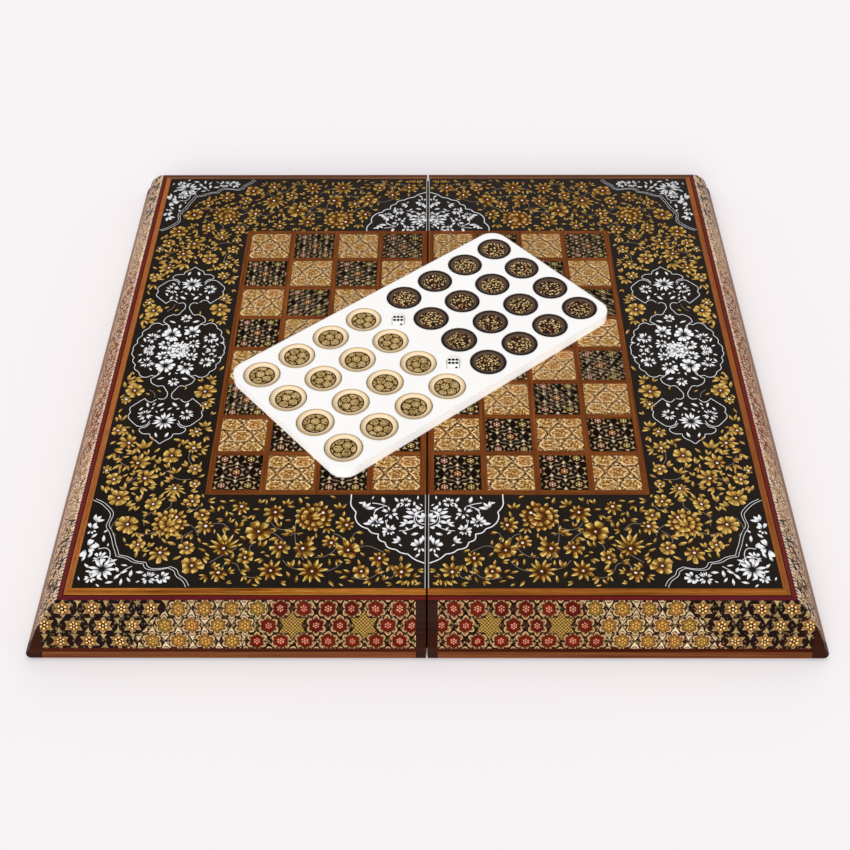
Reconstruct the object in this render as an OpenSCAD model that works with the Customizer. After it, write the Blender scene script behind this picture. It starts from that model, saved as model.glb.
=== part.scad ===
// Folding backgammon board inlaid with khatam marquetry, opened flat with its outside up.
// The chess field spans both halves, and a tray of checkers and dice lies on top.
// X runs over the halves, Y runs from front to back, and Z = 0 is the table under the hinges.

/* [Board] */
// Width of the open board over both halves
board_w = 500; // [480:5:560]
// Depth of the board from front to back
board_d = 500; // [480:5:560]
// Thickness of one half from its rim to its top
half_h = 31.9; // [29:0.5:38]
// Gap between the two halves at the seam
seam_gap = 1.2; // [0.8:0.1:2]
// Radius of the upright corners
corner_r = 4.5; // [3:0.5:8]
// Width of a frame rail at its rim
rail_w = 28; // [24:1:34]
// Width of the hinge rail beside the seam
hinge_rail_w = 14; // [12:1:20]
// Thickness of the panel that closes a half
panel_t = 5; // [4:0.5:8]

/* [Bevelled edge] */
// Run of the strip at the foot, measured inwards
foot_run = 2.3; // [1.5:0.1:3.5]
// Rise of the strip at the foot
foot_rise = 3.2; // [2.4:0.1:5]
// Run of the lower crimson line, measured inwards
lower_line_run = 1.3; // [1:0.1:2.5]
// Rise of the lower crimson line
lower_line_rise = 1.9; // [1:0.1:2.5]
// Run of the khatam slope, measured inwards
khatam_run = 18; // [16:0.2:20]
// How far the khatam slope bulges out from a flat slope
khatam_bulge = 2.5; // [1:0.1:3.2]
// Run of the upper crimson line
upper_line_run = 3; // [2:0.2:4.4]
// Rise of the upper crimson line
upper_line_rise = 0.2; // [0:0.1:1]
// Run of the orange wood line
wood_line_run = 5; // [3.6:0.2:6.4]
// Rise of the orange wood line
wood_line_rise = 1.3; // [0.8:0.1:2]
// Thickness of the veneers on the slope and the foot
veneer_t = 1.2; // [0.8:0.1:1.6]
// Bare wood beside each upright corner
corner_bare = 11.3; // [9:0.1:14]
// Width of the bare stile at each end of the seam
stile_w = 6.2; // [4:0.2:9]

/* [Top inlay] */
// Thickness of the lacquered border, the bars and the chess squares
inlay_t = 1.8; // [1.2:0.1:2.4]
// Side of one chess square
square_w = 31.7; // [30:0.1:34]
// Width of a bar between two squares
bar_w = 3.9; // [2.4:0.1:5]
// Width of the bar round the chess field and beside the seam
frame_bar_w = 4; // [2.4:0.1:5]
// Distance of the chess field's middle behind the board's
field_back = 1.8; // [0:0.1:2.5]

/* [Points inside] */
// Length of one inlaid point
point_len = 176; // [140:2:200]
// Depth of the inlaid points in the panel
point_t = 0.8; // [0.5:0.1:1.2]
// Gap between the bases of two neighbouring points
point_gap = 1.6; // [1:0.2:4]

/* [Hinges] */
// Distance of each hinge from the middle of the seam
hinge_y = 140; // [110:5:170]
// Length of a hinge
hinge_len = 50; // [40:1:60]
// Radius of the hinge knuckles
knuckle_r = 2; // [1.8:0.1:2.6]
// Knuckles on one hinge
knuckles = 5; // [3:2:7]
// Width of a leaf from the pin
leaf_w = 10; // [8:0.5:11]
// Thickness of a leaf
leaf_t = 1.2; // [1:0.1:1.5]
// Radius of the hinge pin
pin_r = 0.9; // [0.7:0.05:1.1]
// Distance between the screws of a leaf
screw_pitch = 17; // [12:1:19]
// Radius of a screw's shank
screw_r = 0.8; // [0.6:0.05:1]
// Radius of a screw's countersunk head
screw_head_r = 1.7; // [1.4:0.05:1.9]
// Length of a screw
screw_len = 8; // [6:0.5:12]

/* [Tray] */
// Length of the tray
tray_l = 260; // [256:1:280]
// Width of the tray
tray_w = 135; // [133:1:150]
// Thickness of the tray
tray_t = 7.5; // [7.2:0.1:9]
// Radius of the tray's corners
tray_corner_r = 13; // [8:1:18]
// Turn of the tray on the board
tray_turn = 40.5; // [30:0.5:50]
// Tray centre to the right of the seam
tray_x = -1.9; // [-10:0.1:10]
// Tray centre behind the middle of the board
tray_y = 2.9; // [-10:0.1:10]
// Pocket pitch along the tray
pitch_l = 31; // [30:0.1:32]
// Pocket pitch across the tray
pitch_w = 31.8; // [30:0.1:33]
// Distance between the two pocket groups' nearest centres
group_gap = 39.3; // [36:0.1:42]
// Depth of the pockets
pocket_depth = 6.2; // [5:0.1:6.4]
// Gap between a checker and its pocket
pocket_gap = 0.4; // [0.3:0.05:0.8]

/* [Checkers and dice] */
// Radius of a checker
checker_r = 12.95; // [12:0.05:13.8]
// Height of a checker
checker_h = 6.4; // [6.2:0.1:8]
// Depth of the dish in a checker's top
dish_depth = 1.3; // [0.8:0.1:1.8]
// Width of the level rim round the dish
rim_w = 0.9; // [0.5:0.1:1.6]
// Radius of a light checker's khatam disc
light_disc_r = 9.4; // [8:0.1:10.4]
// Radius of a dark checker's khatam disc
dark_disc_r = 8.9; // [8:0.1:10.4]
// Thickness of a khatam disc
disc_t = 1.5; // [1:0.1:2]
// Side of a die
die_w = 8.6; // [8:0.1:10]
// Distance of the dice beside the tray's centre line
die_x = -1.1; // [-3:0.1:3]
// Distance of the front die from the middle of the tray
front_die_y = 32.8; // [26:0.2:36]
// Distance of the back die from the middle of the tray
back_die_y = 29.6; // [26:0.2:34]
// Radius of a pip on its face
pip_r = 0.95; // [0.6:0.05:1]

/* [Hidden] */
$fn = 64;
sides = ["left", "right"];
board_parts = ["rails", "panel", "lacquer_border", "chess_bars", "light_squares", "dark_squares",
    "wood_strips", "crimson_lines", "khatam_bands", "points", "hinge_leaves", "hinge_screws"];
sets = 16;
function two_digits(i) = i < 10 ? str("0", i) : str(i);

// Glue line between two wooden pieces, gaps that fits keep, and a length that cuts run past a face
glue_gap = 0.05;
fit_gap = 0.05;
side_gap = 0.1;
past = 1;
// Distance of the hinge axis below the rims
axis_drop = 0.1;
rim_z = knuckle_r + axis_drop;
axis_z = knuckle_r;
seam_x = seam_gap / 2;
half_w = board_w / 2;
half_d = board_d / 2;
top_z = rim_z + half_h;
khatam_rise = half_h - foot_rise - lower_line_rise - upper_line_rise - wood_line_rise;
bevel_run = foot_run + lower_line_run + khatam_run + upper_line_run + wood_line_run;
core_h = half_h - inlay_t;
frame_h = core_h - panel_t;

// Points of the edge profile: distance in from the edge, height over the rim
foot_top = [foot_run, foot_rise];
slope_foot = foot_top + [lower_line_run, lower_line_rise];
slope_top = slope_foot + [khatam_run, khatam_rise];
line_top = slope_top + [upper_line_run, upper_line_rise];
profile_top = line_top + [wood_line_run, wood_line_rise];
slope_steps = 12;
slope_chord = norm(slope_top - slope_foot);
slope_r = (pow(slope_chord / 2, 2) + pow(khatam_bulge, 2)) / (2 * khatam_bulge);
slope_angle = atan2(khatam_rise, khatam_run);
slope_inward = [sin(slope_angle), -cos(slope_angle)];
slope_centre = (slope_foot + slope_top) / 2 + (slope_r - khatam_bulge) * slope_inward;
function bearing(p) = atan2(p[1] - slope_centre[1], p[0] - slope_centre[0]);
function slope_arc(depth) = [for (i = [0:slope_steps])
    let (a = bearing(slope_foot) + (bearing(slope_top) - bearing(slope_foot)) * i / slope_steps)
    slope_centre + (slope_r - depth) * [cos(a), sin(a)]];
function last(list) = list[len(list) - 1];
function reversed(list) = [for (i = [len(list) - 1:-1:0]) list[i]];
line_angle = atan2(upper_line_rise, upper_line_run);
line_under = line_top + veneer_t * [sin(line_angle), -cos(line_angle)];
under_arc = slope_arc(veneer_t);
foot_angle = atan2(foot_rise, foot_run);
under_foot = foot_top + veneer_t * [sin(foot_angle), -cos(foot_angle)];
rim_under = [veneer_t / sin(foot_angle), 0];

foot_profile = [[0, 0], foot_top, under_foot, rim_under];
lower_line_profile = [foot_top, slope_foot, under_arc[0], under_foot];
khatam_profile = concat(slope_arc(0), reversed(under_arc));
upper_line_profile = [slope_top, line_top, line_under, last(under_arc)];
wood_line_profile = [line_top, profile_top, [bevel_run, core_h], line_under];
bare_profile = concat([[0, 0], foot_top], slope_arc(0),
    [last(under_arc), line_under, [bevel_run, core_h], [bevel_run, 0]]);
core_outline = concat([rim_under, under_foot], under_arc, [line_under, [bevel_run, core_h]]);
function mirrored(list, span) = [for (p = reversed(list)) [span - p[0], p[1]]];

// Chess field
field_cols = 4;
field_rows = 8;
cell = square_w + bar_w;
field_w = field_cols * square_w + (field_cols - 1) * bar_w + 2 * frame_bar_w;
field_d = field_rows * square_w + (field_rows - 1) * bar_w + 2 * frame_bar_w;
function col_x(col) = -seam_x - frame_bar_w - (field_cols - col) * cell + bar_w;
field_front = field_back - field_d / 2;
function row_y(row) = field_front + frame_bar_w + row * cell;

// Points
points_per_side = 6;
point_pitch = (half_w - rail_w - seam_x - hinge_rail_w) / points_per_side;

// Hinges
knuckle_bore_r = pin_r + fit_gap;
knuckle_len = hinge_len / knuckles;
barrel_gap = 0.2;
pin_head_r = pin_r + 0.5;
pin_head_t = 0.8;
screw_head_h = 0.95;
screw_x = (leaf_w + knuckle_r) / 2;
screw_ys = [-screw_pitch, 0, screw_pitch];

// Checkers and dice
rim_chamfer = 0.6;
die_gap = 0.3;
die_ball = 1.47;
pip_pitch = die_w * 0.27;
six_pitch = [die_w * 0.31, die_w * 0.18];
pip_ball_r = 1.2;
pip_cut = pip_ball_r - sqrt(pow(pip_ball_r, 2) - pow(pip_r, 2));
pocket_z = top_z + tray_t - pocket_depth;
tray_cols = 4;
tray_rows = 4;

// The right half is the left one mirrored over the seam
module on_side(side) {
    if (side == "left") children();
    else mirror([1, 0, 0]) children();
}

// Runs an edge profile along the front of the left half
module along_front(profile) {
    translate([-half_w, -half_d, rim_z]) rotate([90, 0, 90]) linear_extrude(half_w - seam_x)
        polygon(profile);
}

// Runs an edge profile along the outer side of the left half
module along_outer(profile) {
    translate([-half_w, half_d, rim_z]) rotate([90, 0, 0]) linear_extrude(board_d) polygon(profile);
}

// Plan of the front edge, mitred to the outer one, from bare wood at the corner to a given end
module front_plan(bare, end_x) {
    reach = bevel_run + rail_w;
    linear_extrude(top_z + past)
        polygon([[-half_w + bare, -half_d - past], [end_x, -half_d - past], [end_x, -half_d + reach],
            [-half_w + reach, -half_d + reach], [-half_w + bare, -half_d + bare]]);
}

// Plan of the outer edge, mitred at both ends
module outer_plan(bare) {
    reach = bevel_run + rail_w;
    translate([-glue_gap, 0, 0]) linear_extrude(top_z + past)
        polygon([[-half_w - past, -half_d + bare], [-half_w + bare, -half_d + bare],
            [-half_w + reach, -half_d + reach], [-half_w + reach, half_d - reach],
            [-half_w + bare, half_d - bare], [-half_w - past, half_d - bare]]);
}

// Three mitred lengths of one profile: front, outer side and back
module edge_set(profile, bare, end_x) {
    for (m = [0, 1]) mirror([0, m, 0]) intersection() {
        along_front(profile);
        front_plan(bare, end_x);
    }
    intersection() {
        along_outer(profile);
        outer_plan(bare);
    }
}

// Veneers let into the rails: foot strip, lower line and khatam band
module slope_inlay() {
    for (profile = [foot_profile, lower_line_profile, khatam_profile])
        edge_set(profile, corner_bare, -seam_x - stile_w);
}

// The half's outline in plan, with its two outer corners rounded
module rounded_plan() {
    linear_extrude(top_z + past) {
        translate([-half_w + corner_r, -half_d]) square([half_w, board_d]);
        translate([-half_w, -half_d + corner_r]) square([half_w, board_d - 2 * corner_r]);
        for (y = [-1, 1]) translate([-half_w + corner_r, y * (half_d - corner_r)]) circle(corner_r);
    }
}

module front_rail() {
    difference() {
        intersection() {
            along_front(bare_profile);
            front_plan(0, -seam_x - stile_w - glue_gap);
            translate([-half_w, -half_d, rim_z]) cube([half_w, rail_w, frame_h]);
            rounded_plan();
        }
        slope_inlay();
    }
}

module outer_rail() {
    difference() {
        intersection() {
            along_outer(bare_profile);
            outer_plan(0);
            translate([-half_w, -half_d, rim_z]) cube([rail_w, board_d, frame_h]);
            rounded_plan();
        }
        slope_inlay();
    }
}

// Bare end blocks of the seam, with the full profile under the top lines
module seam_stiles() {
    for (m = [0, 1]) mirror([0, m, 0]) intersection() {
        along_front(bare_profile);
        translate([-seam_x - stile_w, -half_d, rim_z]) cube([stile_w, rail_w, half_h]);
    }
}

module hinge_rail() {
    barrel_len = hinge_len + 2 * pin_head_t + 4 * barrel_gap;
    difference() {
        translate([-seam_x - hinge_rail_w, -half_d + rail_w + glue_gap, rim_z])
            cube([hinge_rail_w, board_d - 2 * (rail_w + glue_gap), frame_h]);
        for (y = [-hinge_y, hinge_y]) translate([0, y, 0]) {
            translate([-leaf_w - side_gap, -hinge_len / 2 - side_gap, rim_z - past])
                cube([leaf_w + side_gap + past, hinge_len + 2 * side_gap, leaf_t + past]);
            translate([0, 0, axis_z]) rotate([90, 0, 0])
                cylinder(r = knuckle_r + barrel_gap, h = barrel_len, center = true);
            for (s = screw_ys) translate([-screw_x, s, rim_z])
                cylinder(r = screw_r + fit_gap, h = screw_len + barrel_gap);
        }
    }
}

module rails() {
    color("#4a2418") {
        for (m = [0, 1]) mirror([0, m, 0]) front_rail();
        outer_rail();
        seam_stiles();
        hinge_rail();
    }
}

// Tapered points of the playing field, let into the underside of the panel
module point_row() {
    base_y = -half_d + rail_w;
    for (i = [0:points_per_side - 1])
        translate([-half_w + rail_w + i * point_pitch, base_y, rim_z + frame_h]) linear_extrude(point_t)
            polygon([[point_gap / 2, 0], [point_pitch - point_gap / 2, 0], [point_pitch / 2, point_len]]);
}

module points() {
    color("#c49a5e") for (m = [0, 1]) mirror([0, m, 0]) point_row();
}

module panel() {
    color("#8a6a45") difference() {
        intersection() {
            translate([-half_w, -half_d, rim_z]) rotate([90, 0, 90]) linear_extrude(half_w - seam_x)
                polygon(concat(core_outline, mirrored(core_outline, board_d)));
            along_outer(concat(core_outline, [[half_w - seam_x, core_h], [half_w - seam_x, 0]]));
            translate([-half_w, -half_d, rim_z + frame_h]) cube([half_w, board_d, panel_t]);
        }
        for (m = [0, 1]) mirror([0, m, 0]) translate([-seam_x - stile_w, -half_d, rim_z])
            cube([stile_w + past, rail_w, half_h]);
        points();
    }
}

module lacquer_border() {
    color("#2b2725") difference() {
        translate([-half_w + bevel_run, -half_d + bevel_run, rim_z + core_h])
            cube([half_w - bevel_run - seam_x, board_d - 2 * bevel_run, inlay_t]);
        translate([-seam_x - field_w, field_front, rim_z + core_h - past])
            cube([field_w + past, field_d, inlay_t + 2 * past]);
    }
}

// Long bars run from front to back, and short ones cross between them
module chess_bars() {
    color("#8a4a22") translate([0, 0, rim_z + core_h]) {
        for (x = [-seam_x - field_w, -seam_x - frame_bar_w]) translate([x, field_front, 0])
            cube([frame_bar_w, field_d, inlay_t]);
        for (col = [1:field_cols - 1]) translate([col_x(col) - bar_w, field_front, 0])
            cube([bar_w, field_d, inlay_t]);
        for (col = [0:field_cols - 1]) {
            for (y = [field_front, field_front + field_d - frame_bar_w]) translate([col_x(col) + glue_gap, y, 0])
                cube([square_w - 2 * glue_gap, frame_bar_w, inlay_t]);
            for (row = [1:field_rows - 1]) translate([col_x(col) + glue_gap, row_y(row) - bar_w, 0])
                cube([square_w - 2 * glue_gap, bar_w, inlay_t]);
        }
    }
}

// Squares of one colour: the near corner square of the left half is dark
module squares(odd) {
    for (col = [0:field_cols - 1]) for (row = [0:field_rows - 1])
        if ((col + row) % 2 == odd) translate([col_x(col), row_y(row), rim_z + core_h])
            cube([square_w, square_w, inlay_t]);
}

module light_squares(side) {
    color("#c49a5e") squares(side == "left" ? 1 : 0);
}

module dark_squares(side) {
    color("#33291f") squares(side == "left" ? 0 : 1);
}

// Orange wood lines at the top of the slope and brown strips at its foot
module wood_strips() {
    color("#b5702c") {
        edge_set(wood_line_profile, 0, -seam_x);
        edge_set(foot_profile, corner_bare, -seam_x - stile_w);
    }
}

module crimson_lines() {
    color("#7a2433") {
        edge_set(upper_line_profile, 0, -seam_x);
        edge_set(lower_line_profile, corner_bare, -seam_x - stile_w);
    }
}

module khatam_bands() {
    color("#a08058") edge_set(khatam_profile, corner_bare, -seam_x - stile_w);
}

// One leaf with every other knuckle, for the left half
module hinge_leaf(side) {
    own = side == "left" ? 0 : 1;
    difference() {
        union() {
            translate([-leaf_w, -hinge_len / 2, rim_z]) cube([leaf_w - knuckle_r / 2, hinge_len, leaf_t]);
            for (i = [own:2:knuckles - 1]) knuckle(i, knuckle_r, knuckle_len - barrel_gap);
        }
        for (i = [1 - own:2:knuckles - 1]) knuckle(i, knuckle_r + barrel_gap, knuckle_len + barrel_gap);
        translate([0, 0, axis_z]) rotate([90, 0, 0])
            cylinder(r = knuckle_bore_r, h = hinge_len + 2 * past, center = true);
        for (y = screw_ys) translate([-screw_x, y, rim_z]) {
            cylinder(r = screw_r + fit_gap, h = leaf_t + past);
            cylinder(r1 = screw_head_r + fit_gap, r2 = screw_r + fit_gap, h = screw_head_h);
        }
    }
}

module knuckle(i, r, length) {
    translate([0, -hinge_len / 2 + (i + 0.5) * knuckle_len, axis_z]) rotate([90, 0, 0])
        cylinder(r = r, h = length, center = true);
}

module hinge_leaves(side) {
    color("#c9a34b") for (y = [-hinge_y, hinge_y]) translate([0, y, 0]) hinge_leaf(side);
}

module hinge_screws() {
    color("#b08d3f") for (y = [-hinge_y, hinge_y]) for (s = screw_ys) translate([-screw_x, y + s, rim_z]) {
        cylinder(r1 = screw_head_r, r2 = screw_r, h = screw_head_h);
        cylinder(r = screw_r, h = screw_len);
    }
}

module hinge_pins() {
    pin_len = hinge_len + 2 * barrel_gap;
    color("#9a9a9a") for (y = [-hinge_y, hinge_y]) translate([0, y, axis_z]) rotate([90, 0, 0]) {
        cylinder(r = pin_r, h = pin_len, center = true);
        for (end = [-1, 1]) translate([0, 0, end * (pin_len + pin_head_t) / 2])
            cylinder(r = pin_head_r, h = pin_head_t, center = true);
    }
}

// Puts a thing at a place on the tray, measured from the tray's centre
module on_tray(x, y, z) {
    translate([tray_x, tray_y, z]) rotate([0, 0, tray_turn]) translate([x, y, 0]) children();
}

// Pocket centres of one set, counted along the tray and then across it
function set_x(group, i) = group * (group_gap / 2 + (i % tray_cols) * pitch_l);
function set_y(i) = (floor(i / tray_cols) - (tray_rows - 1) / 2) * pitch_w;

module tray() {
    color("#fbf9f6") difference() {
        on_tray(0, 0, top_z) linear_extrude(tray_t) {
            square([tray_l, tray_w - 2 * tray_corner_r], center = true);
            square([tray_l - 2 * tray_corner_r, tray_w], center = true);
            for (x = [-1, 1]) for (y = [-1, 1])
                translate([x * (tray_l / 2 - tray_corner_r), y * (tray_w / 2 - tray_corner_r)])
                    circle(tray_corner_r);
        }
        for (group = [-1, 1]) for (i = [0:sets - 1]) on_tray(set_x(group, i), set_y(i), pocket_z)
            cylinder(r = checker_r + pocket_gap, h = pocket_depth + past);
        for (end = [-1, 1]) die_place(end) translate([-die_w / 2 - die_gap, -die_w / 2 - die_gap, 0])
            cube([die_w + 2 * die_gap, die_w + 2 * die_gap, pocket_depth + past]);
    }
}

// A die lies square to the board, between the two groups of pockets
module die_place(end) {
    on_tray(die_x, end < 0 ? -front_die_y : back_die_y, pocket_z) rotate([0, 0, -tray_turn]) children();
}

// Turned checker with a dished top and a khatam disc let into the dish
module checker(disc_r, disc_colour) {
    floor_z = checker_h - dish_depth;
    rotate_extrude() polygon([[0, 0], [checker_r - rim_chamfer, 0], [checker_r, rim_chamfer],
        [checker_r, checker_h - rim_chamfer / 2], [checker_r - rim_chamfer / 2, checker_h],
        [checker_r - rim_w, checker_h], [(checker_r - rim_w + disc_r) / 2, checker_h - dish_depth * 0.7],
        [disc_r, floor_z], [disc_r, floor_z - disc_t - glue_gap], [0, floor_z - disc_t - glue_gap]]);
    color(disc_colour) translate([0, 0, floor_z - disc_t]) cylinder(r = disc_r - glue_gap, h = disc_t);
}

module light_checker(i) {
    color("#efd9ab") on_tray(set_x(-1, i - 1), set_y(i - 1), pocket_z) checker(light_disc_r, "#a9814f");
}

module dark_checker(i) {
    color("#352c2a") on_tray(set_x(1, i - 1), set_y(i - 1), pocket_z) checker(dark_disc_r, "#8a6438");
}

// Pip places on one face of a die
function pip_grid(n) = [for (x = [-1, 0, 1]) for (y = [-1, 0, 1])
    if ((n == 6 && y != 0) || (n == 5 && abs(x) == abs(y)) || (n == 4 && x != 0 && y != 0)
        || (n == 3 && x == y) || (n == 2 && x == y && x != 0) || (n == 1 && x == 0 && y == 0))
    n == 6 ? [x * six_pitch[0], y * six_pitch[1]] : [x, y] * pip_pitch];

module pips(n) {
    for (p = pip_grid(n)) translate([p[0], p[1], die_w / 2 + pip_ball_r - pip_cut]) sphere(pip_ball_r);
}

module die(end) {
    turns = [[0, 0, 0], [180, 0, 0], [90, 0, 0], [-90, 0, 0], [0, 90, 0], [0, -90, 0]];
    values = [6, 1, 2, 5, 4, 3];
    color("#f4f1ea") die_place(end) translate([0, 0, die_w / 2]) difference() {
        intersection() {
            cube(die_w, center = true);
            sphere(die_w / 2 * die_ball);
        }
        for (k = [0:5]) rotate(turns[k]) pips(values[k]);
    }
}

for (side = sides) on_side(side) {
    rails();
    panel();
    lacquer_border();
    chess_bars();
    light_squares(side);
    dark_squares(side);
    wood_strips();
    crimson_lines();
    khatam_bands();
    points();
    hinge_leaves(side);
    hinge_screws();
}
hinge_pins();
tray();
for (i = [1:sets]) {
    light_checker(i);
    dark_checker(i);
}
die(-1);  // die_1
die(1);  // die_2
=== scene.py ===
"""Folding backgammon board inlaid with khatam marquetry, opened flat, with its tray of checkers and dice."""
import math
import random

import bmesh
import bpy
from mathutils import Matrix, Vector


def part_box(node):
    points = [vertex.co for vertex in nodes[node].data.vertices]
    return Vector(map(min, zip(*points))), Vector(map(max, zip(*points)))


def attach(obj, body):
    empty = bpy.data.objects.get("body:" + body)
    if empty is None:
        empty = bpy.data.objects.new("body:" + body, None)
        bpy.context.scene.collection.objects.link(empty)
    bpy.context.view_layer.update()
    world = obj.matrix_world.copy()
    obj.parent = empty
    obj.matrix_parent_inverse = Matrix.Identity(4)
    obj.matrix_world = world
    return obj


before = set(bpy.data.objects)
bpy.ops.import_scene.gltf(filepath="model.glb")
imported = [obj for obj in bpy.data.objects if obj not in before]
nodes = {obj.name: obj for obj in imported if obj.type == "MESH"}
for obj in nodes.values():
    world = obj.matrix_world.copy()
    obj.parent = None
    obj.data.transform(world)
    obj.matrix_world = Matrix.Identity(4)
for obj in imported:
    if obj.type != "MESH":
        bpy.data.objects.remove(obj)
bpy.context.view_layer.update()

# Camera: the photograph looks down at 45 degrees from in front of the board. Its lens, place and turn come
# from a fit to the corners of the board and of the chess field.
photo_lens = bpy.data.cameras.new("photo_lens")
photo_lens.lens = 55.15
photo_lens.sensor_width = 36
photo_lens.clip_start = 0.01
photo_lens.clip_end = 50
camera = bpy.data.objects.new("camera", photo_lens)
bpy.context.scene.collection.objects.link(camera)
camera_place = Vector((0.0029, -0.7175, 0.6765))
turned, looks_down, rolled = 0.402, 45.122, -0.286
camera.matrix_world = (Matrix.Translation(camera_place)
                       @ Matrix.Rotation(math.radians(turned), 4, "Z")
                       @ Matrix.Rotation(math.radians(90 - looks_down), 4, "X")
                       @ Matrix.Rotation(math.radians(rolled), 4, "Z"))
bpy.context.scene.camera = camera
bpy.context.scene.view_settings.view_transform = "Standard"


# Studio floor and light: a wide pale table in even white light, so that the board only throws a short soft
# shadow. The world shows the same pale tone where the floor ends.
def linear(hex_colour, alpha=1.0):
    """A colour as the renderer counts it, from the usual hex form."""
    parts = [int(hex_colour[i:i + 2], 16) / 255 for i in (1, 3, 5)]
    return tuple(p / 12.92 if p <= 0.04045 else ((p + 0.055) / 1.055) ** 2.4 for p in parts) + (alpha,)


pale = "#f9f4f6"
bpy.ops.object.select_all(action="DESELECT")
bpy.ops.mesh.primitive_plane_add(size=12, location=(0, 0, 0))
floor = bpy.context.object
floor.name = "floor"
floor_paint = bpy.data.materials.new("pale_floor")
floor_paint.use_nodes = True
floor_shader = floor_paint.node_tree.nodes["Principled BSDF"]
floor_shader.inputs["Base Color"].default_value = linear(pale)
floor_shader.inputs["Roughness"].default_value = 0.9
floor_shader.inputs["Specular IOR Level"].default_value = 0.1
floor.data.materials.append(floor_paint)

world = bpy.data.worlds.new("studio")
bpy.context.scene.world = world
world.use_nodes = True
sky = world.node_tree
sky.nodes.clear()
ambient = sky.nodes.new("ShaderNodeBackground")
ambient.inputs["Color"].default_value = (1, 1, 1, 1)
ambient.inputs["Strength"].default_value = 0.46
seen = sky.nodes.new("ShaderNodeBackground")
seen.inputs["Color"].default_value = linear(pale)
seen.inputs["Strength"].default_value = 1.0
rays = sky.nodes.new("ShaderNodeLightPath")
direct = sky.nodes.new("ShaderNodeMath")
direct.operation = "MAXIMUM"
sky.links.new(rays.outputs["Is Camera Ray"], direct.inputs[0])
sky.links.new(rays.outputs["Is Transmission Ray"], direct.inputs[1])
either = sky.nodes.new("ShaderNodeMixShader")
sky.links.new(direct.outputs[0], either.inputs[0])
sky.links.new(ambient.outputs[0], either.inputs[1])
sky.links.new(seen.outputs[0], either.inputs[2])
sky_out = sky.nodes.new("ShaderNodeOutputWorld")
sky.links.new(either.outputs[0], sky_out.inputs[0])


def studio_lamp(name, place, spread, strength):
    """A far, wide lamp that throws an even light from the direction of a place."""
    data = bpy.data.lights.new(name, "SUN")
    data.angle = math.radians(spread)
    data.energy = strength
    lamp = bpy.data.objects.new(name, data)
    bpy.context.scene.collection.objects.link(lamp)
    lamp.matrix_world = (Matrix.Translation(place)
                         @ Vector(place).to_track_quat("Z", "Y").to_matrix().to_4x4())


studio_lamp("front_light", (-0.35, -2.1, 1.5), 45, 2.5)
studio_lamp("back_light", (0.6, 1.9, 1.7), 45, 0.36)


# Wooden body of both halves: mitred rails, seam stiles and hinge rails of dark brown hardwood under a satin
# varnish, with a painted highlight on a band low down on the rails.
class Wire:
    """A number on its way through a node tree. Sums and products of wires add the nodes that work them out.

    Masks are wires from 0 to 1, and pick or mix two numbers or two colours."""

    def __init__(self, tree, socket):
        self.tree = tree
        self.socket = socket

    def math(self, operation, *others, clamp=False):
        step = self.tree.nodes.new("ShaderNodeMath")
        step.operation = operation
        step.use_clamp = clamp
        for socket, value in zip(step.inputs, (self, *others)):
            feed(socket, value)
        return Wire(self.tree, step.outputs[0])

    def __add__(self, other):
        return self.math("ADD", other)

    def __sub__(self, other):
        return self.math("SUBTRACT", other)

    def __rsub__(self, other):
        return self.math("MULTIPLY_ADD", -1, other)

    def __mul__(self, other):
        return self.math("MULTIPLY", other)

    def __truediv__(self, other):
        return self.math("DIVIDE", other)

    def __abs__(self):
        return self.math("ABSOLUTE")

    def under(self, limit, soft):
        """1 where the number is under the limit, 0 where it is over it, and a soft change between."""
        if isinstance(limit, Wire):
            return (limit - self).math("MULTIPLY_ADD", 1 / soft, 0.5, clamp=True)
        return self.math("MULTIPLY_ADD", -1 / soft, limit / soft + 0.5, clamp=True)

    def over(self, limit, soft):
        """1 where the number is over the limit, and 0 where it is under it."""
        return self.math("MULTIPLY_ADD", 1 / soft, 0.5 - limit / soft, clamp=True)

    def between(self, low, high, soft):
        """1 from low to high, and 0 outside."""
        return self.over(low, soft) * self.under(high, soft)

    def either(self, low, high):
        """The number low where this mask is 0, and high where it is 1."""
        mix = self.tree.nodes.new("ShaderNodeMix")
        feed(mix.inputs[0], self)
        feed(mix.inputs[2], low)
        feed(mix.inputs[3], high)
        return Wire(self.tree, mix.outputs[0])

    def colour(self, low, high):
        """The colour low where this mask is 0, and high where it is 1."""
        mix = self.tree.nodes.new("ShaderNodeMix")
        mix.data_type = "RGBA"
        feed(mix.inputs[0], self)
        feed(mix.inputs[6], low)
        feed(mix.inputs[7], high)
        return Wire(self.tree, mix.outputs[2])


def feed(socket, value):
    """Links a wire to a socket, or sets the socket to a number or to a hex colour."""
    if isinstance(value, Wire):
        value.tree.links.new(value.socket, socket)
    elif isinstance(value, str):
        socket.default_value = linear(value)
    else:
        socket.default_value = value


def vector(x, y, z):
    """Three numbers or wires as one place."""
    tree = next(w.tree for w in (x, y, z) if isinstance(w, Wire))
    joined = tree.nodes.new("ShaderNodeCombineXYZ")
    for socket, value in zip(joined.inputs, (x, y, z)):
        feed(socket, value)
    return Wire(tree, joined.outputs[0])


def cloud(place, scale, detail=2.0, roughness=0.5, distortion=0.0):
    """Soft random patches, from 0 to 1 round 0.5."""
    noise = place.tree.nodes.new("ShaderNodeTexNoise")
    feed(noise.inputs["Vector"], place)
    noise.inputs["Scale"].default_value = scale
    noise.inputs["Detail"].default_value = detail
    noise.inputs["Roughness"].default_value = roughness
    noise.inputs["Distortion"].default_value = distortion
    return Wire(place.tree, noise.outputs[0])


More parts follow.
